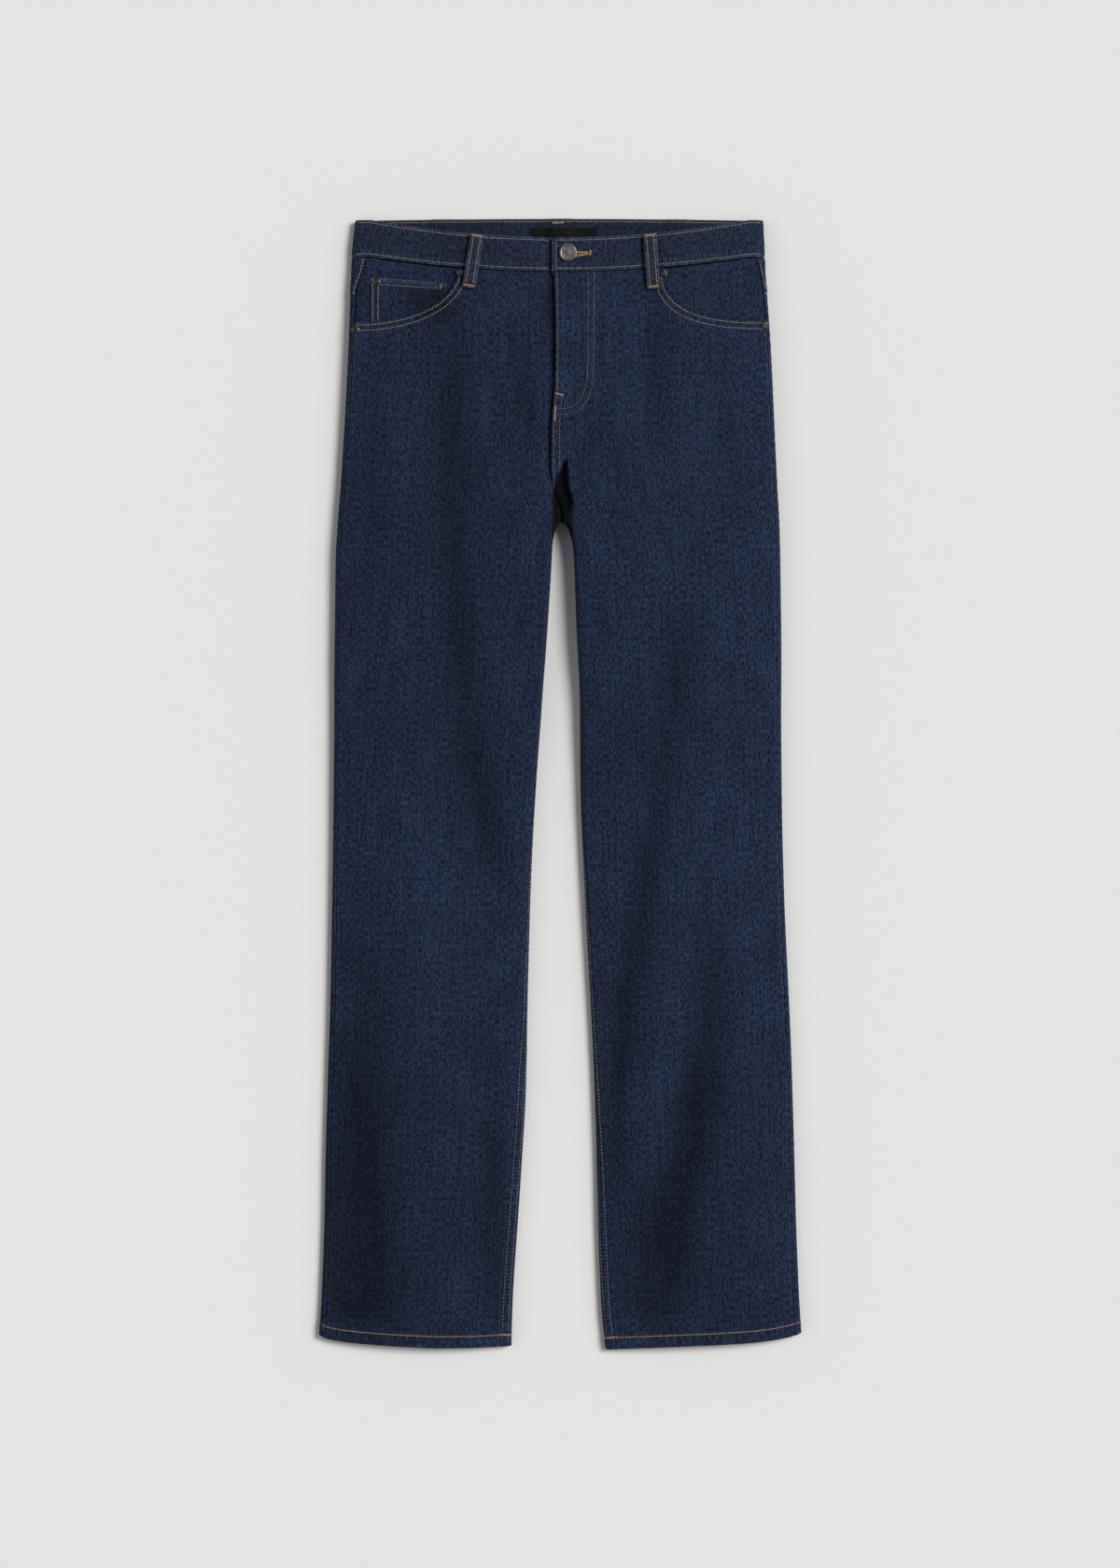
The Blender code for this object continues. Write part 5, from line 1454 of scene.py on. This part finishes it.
for sewingName, splines, radius, thread in (
    ("stitching_tan", tan, sewing["radius"], tanThread),
    ("stitching_fly", fine, sewing["radius"] - 0.06, browned),
    ("stitching_inseams", inner, sewing["radius"] - 0.06, dullThread),
    ("stitching_orange", orange, sewing["tackRadius"] + 0.02, orangeThread),
    ("stitching_hems", hems, sewing["radius"] + 0.04, orangeThread),
):
    threadPiece(sewingName, splines, radius, thread)
print("sewing made:", len(tan), "tan,", len(inner), "inseam and", len(orange), "orange stitches")

# ---- the buttonhole, with its slit and close stitches round it ----

buttonhole = {
    "start": (15.6, 523.6),
    "end": (27.6, 525.0),
    "slit": (1.5, 0.35),
    "stitch": 1.35,
    "pitch": 0.5,
    "tack": (29.8, 525.3),
}


def makeButtonhole():
    b = buttonhole
    (x0, y0), (x1, y1) = b["start"], b["end"]
    length = math.hypot(x1 - x0, y1 - y0)
    along, across = np.array([x1 - x0, y1 - y0]) / length, np.array([y0 - y1, x1 - x0]) / length
    made = []
    for edge in (1, -1):
        for k in range(int(length / b["pitch"])):
            s = (k + 0.5) * b["pitch"]
            half = b["slit"][0] + (b["slit"][1] - b["slit"][0]) * s / length
            start = np.array([x0, y0]) + along * (s + rng.normal(0, 0.08)) + across * edge * half
            points = []
            for out, up, thick in ((-0.35, -0.1, 0.8), (0.1, 0.4, 1.0), (0.6, 0.3, 1.0), (1.0, -0.2, 0.7)):
                x, y = start + across * edge * out * (b["stitch"] + rng.normal(0, 0.06))
                hit = dropOnto(allBands, x, y)
                points.append((np.array(hit[0]) + np.array(hit[1]) * up, thick))
            made.append(points)
    made += tack(b["tack"], (0.22, 1), 5.2, 2.4, allBands)
    thread = threadPiece("buttonhole_stitching", made, 0.26, orangeThread)
    # the slit itself, a thin near-black sliver between the stitches, standing in as painted shadow inside the cut
    bm = bmesh.new()
    bmesh.ops.create_circle(bm, cap_ends=True, segments=24, radius=1.0)
    for vert in bm.verts:
        share = 0.5 + 0.5 * vert.co.x
        half = b["slit"][0] + (b["slit"][1] - b["slit"][0]) * share
        x, y = np.array([x0, y0]) + along * share * length + across * vert.co.y * half
        vert.co = (x * mm, y * mm, (dropOnto(allBands, x, y)[0].z + 0.08) * mm)
    grown = bmesh.ops.extrude_face_region(bm, geom=bm.faces[:])
    bmesh.ops.translate(bm, verts=[v for v in grown["geom"] if isinstance(v, bmesh.types.BMVert)], vec=(0, 0, -0.3 * mm))
    bmesh.ops.recalc_face_normals(bm, faces=bm.faces)
    slit = finishMesh("buttonhole_slit", bm, paintedSlitShadow)
    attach(slit, "root")


makeButtonhole()

# ---- button and rivets ----

button = {
    "x": 8.0,
    "y": 525.2,
    "radius": 8.5,
    "height": 2.6,
    "shank": 3.4,
    # radius share and height share, from the middle out and under
    "profile": [
        (0, 0.74), (0.1, 0.75), (0.18, 0.8), (0.22, 0.78), (0.3, 0.7), (0.52, 0.7), (0.58, 0.74), (0.63, 0.72), (0.72, 0.72),
        (0.78, 0.86), (0.84, 0.98), (0.9, 1.0), (0.96, 0.95), (1.0, 0.8), (1.0, 0.62), (0.97, 0.45), (0.9, 0.36), (0.4, 0.35),
    ],
}  # fmt: skip


def turnedMetal(name, profile, centre, way, material, steps=64):
    # profile points (radius, height) spun round, closed by the spin
    bm = bmesh.new()
    points = [bm.verts.new((r * mm, 0, h * mm)) for r, h in profile]
    edges = [bm.edges.new(pair) for pair in zip(points, points[1:])]
    bmesh.ops.spin(bm, geom=points + edges, cent=(0, 0, 0), axis=(0, 0, 1), angle=2 * math.pi, steps=steps, use_merge=True)
    bmesh.ops.remove_doubles(bm, verts=bm.verts, dist=1e-6)
    bmesh.ops.recalc_face_normals(bm, faces=bm.faces)
    turn = Vector((0, 0, 1)).rotation_difference(Vector(way)).to_matrix()
    bmesh.ops.rotate(bm, verts=bm.verts, cent=(0, 0, 0), matrix=turn)
    bmesh.ops.translate(bm, verts=bm.verts, vec=Vector(centre) * mm)
    obj = finishMesh(name, bm, material, 35)
    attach(obj, "root")
    return obj


def makeButton():
    b = button
    level = max(dropOnto(allBands, b["x"] + dx, b["y"] + dy)[0].z for dx in (-4, 0, 4) for dy in (-4, 0, 4))
    profile = [(r * b["radius"], h * b["height"]) for r, h in b["profile"]] + [(b["shank"], 0.0), (0, 0)]
    obj = turnedMetal("button_cap", profile, (b["x"], b["y"], level + 0.1), (0, 0, 1), buttonMetal, 72)
    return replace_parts(obj, "waist_button")


rivets = {
    "radius": 4.2,
    "height": 1.4,
    "profile": [
        (0, 0.95), (0.14, 0.94), (0.22, 0.8), (0.28, 0.62), (0.34, 0.64), (0.42, 0.9), (0.5, 1.0), (0.62, 0.94),
        (0.78, 0.72), (0.92, 0.42), (1.0, 0.16), (1.0, 0.0), (0, 0),
    ],
    "places": {
        "mouth_right": (-98.6, 506.0, fronts[right]),
        "mouth_left": (102.2, 505.0, fronts[left]),
        "side_right": (-202.4, 449.5, fronts[right]),
        "side_left": (203.2, 454.0, fronts[left]),
        "coin_side": (-181.6, 497.2, coinPocket),
        "coin_inner": (-120.6, 491.3, coinPocket),
    },
}  # fmt: skip


def makeRivet(name, x, y, onto):
    skin = skinOf(onto)
    hits = [dropOnto([skin], x + dx, y + dy) for dx in (-2.8, 0, 2.8) for dy in (-2.8, 0, 2.8)]
    hits = [hit for hit in hits if hit and hit[0].z > 6]
    way = sum((hit[1] for hit in hits), Vector()).normalized()
    middle = dropOnto([skin], x, y)[0]
    rise = max((hit[0] - middle).dot(way) for hit in hits)
    profile = [(r * rivets["radius"], h * rivets["height"]) for r, h in rivets["profile"]]
    obj = turnedMetal(f"rivet_cap_{name}", profile, middle + way * (0.3 * rise + 0.05), way, rivetMetal, 32)
    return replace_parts(obj, f"rivet_{name}")


makeButton()
for rivetName, rivetPlace in rivets["places"].items():
    makeRivet(rivetName, *rivetPlace)
print("button and rivets made")

# ---- the pieces underneath keep their solids ----

for nodeName in ("back_pocket_right", "back_pocket_left", "belt_loop_back_right", "belt_loop_back_left", "belt_loop_back_centre"):
    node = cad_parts[nodeName]
    node.data.materials.clear()
    node.data.materials.append(plainDenim)


# ---- floor, light and camera ----

studio = {
    "floor": (0.785, 0.785, 0.768),
    "overhead": 0.025,
    "walls": 0.03,
    "banks": 1.36,
    "sun": 2.72,
    "sunFrom": (0.66, 0.3, 0.689),
    "sunSpread": 26.0,
    "lens": 95.0,
    "across": 1.5523,  # metres of the object's plane along the picture's long side
    "plane": 0.01,
}


def makeStudio():
    bm = bmesh.new()
    bmesh.ops.create_grid(bm, x_segments=1, y_segments=1, size=4.0)
    bmesh.ops.translate(bm, verts=bm.verts, vec=(0, 0, -0.0006))
    material, tree, shader = newMaterial("pale floor")
    shader.inputs["Base Color"].default_value = (*studio["floor"], 1)
    shader.inputs["Roughness"].default_value = 0.9
    shader.inputs["Specular IOR Level"].default_value = 0.1
    finishMesh("floor", bm, material)

    world = bpy.data.worlds.new("soft studio")
    world.use_nodes = True
    tree = world.node_tree
    sky = tree.nodes["Background"]
    sky.inputs["Color"].default_value = (1, 1, 1, 1)
    # two long banks of light, low down on either side of the set
    way = addNode(tree, "ShaderNodeSeparateXYZ", {0: addNode(tree, "ShaderNodeTexCoord").outputs["Generated"]})
    x, z = way.outputs[0], way.outputs[2]
    low = mathNode(tree, "SUBTRACT", 1.0, mathNode(tree, "MULTIPLY", z, z))
    strength = mathNode(tree, "ADD", mathNode(tree, "MULTIPLY", low, studio["walls"]), studio["overhead"])
    banks = mathNode(tree, "MULTIPLY", mathNode(tree, "MULTIPLY", x, x), studio["banks"])
    strength = mathNode(tree, "ADD", strength, banks)
    tree.links.new(strength, sky.inputs["Strength"])
    bpy.context.scene.world = world

    sun = bpy.data.lights.new("key", "SUN")
    sun.energy = studio["sun"]
    sun.angle = math.radians(studio["sunSpread"])
    key = bpy.data.objects.new("key", sun)
    key.rotation_mode = "QUATERNION"
    key.rotation_quaternion = Vector(studio["sunFrom"]).to_track_quat("Z", "Y")
    bpy.context.scene.collection.objects.link(key)

    camera = bpy.data.cameras.new("camera")
    camera.lens = studio["lens"]
    camera.sensor_width = 36.0
    camera.clip_end = 50.0
    height = studio["plane"] + studio["across"] * studio["lens"] / 36.0
    viewer = bpy.data.objects.new("camera", camera)
    viewer.location = (0, 0, height)
    bpy.context.scene.collection.objects.link(viewer)
    bpy.context.scene.camera = viewer
    bpy.context.scene.view_settings.view_transform = "Standard"


makeStudio()
print("studio made")
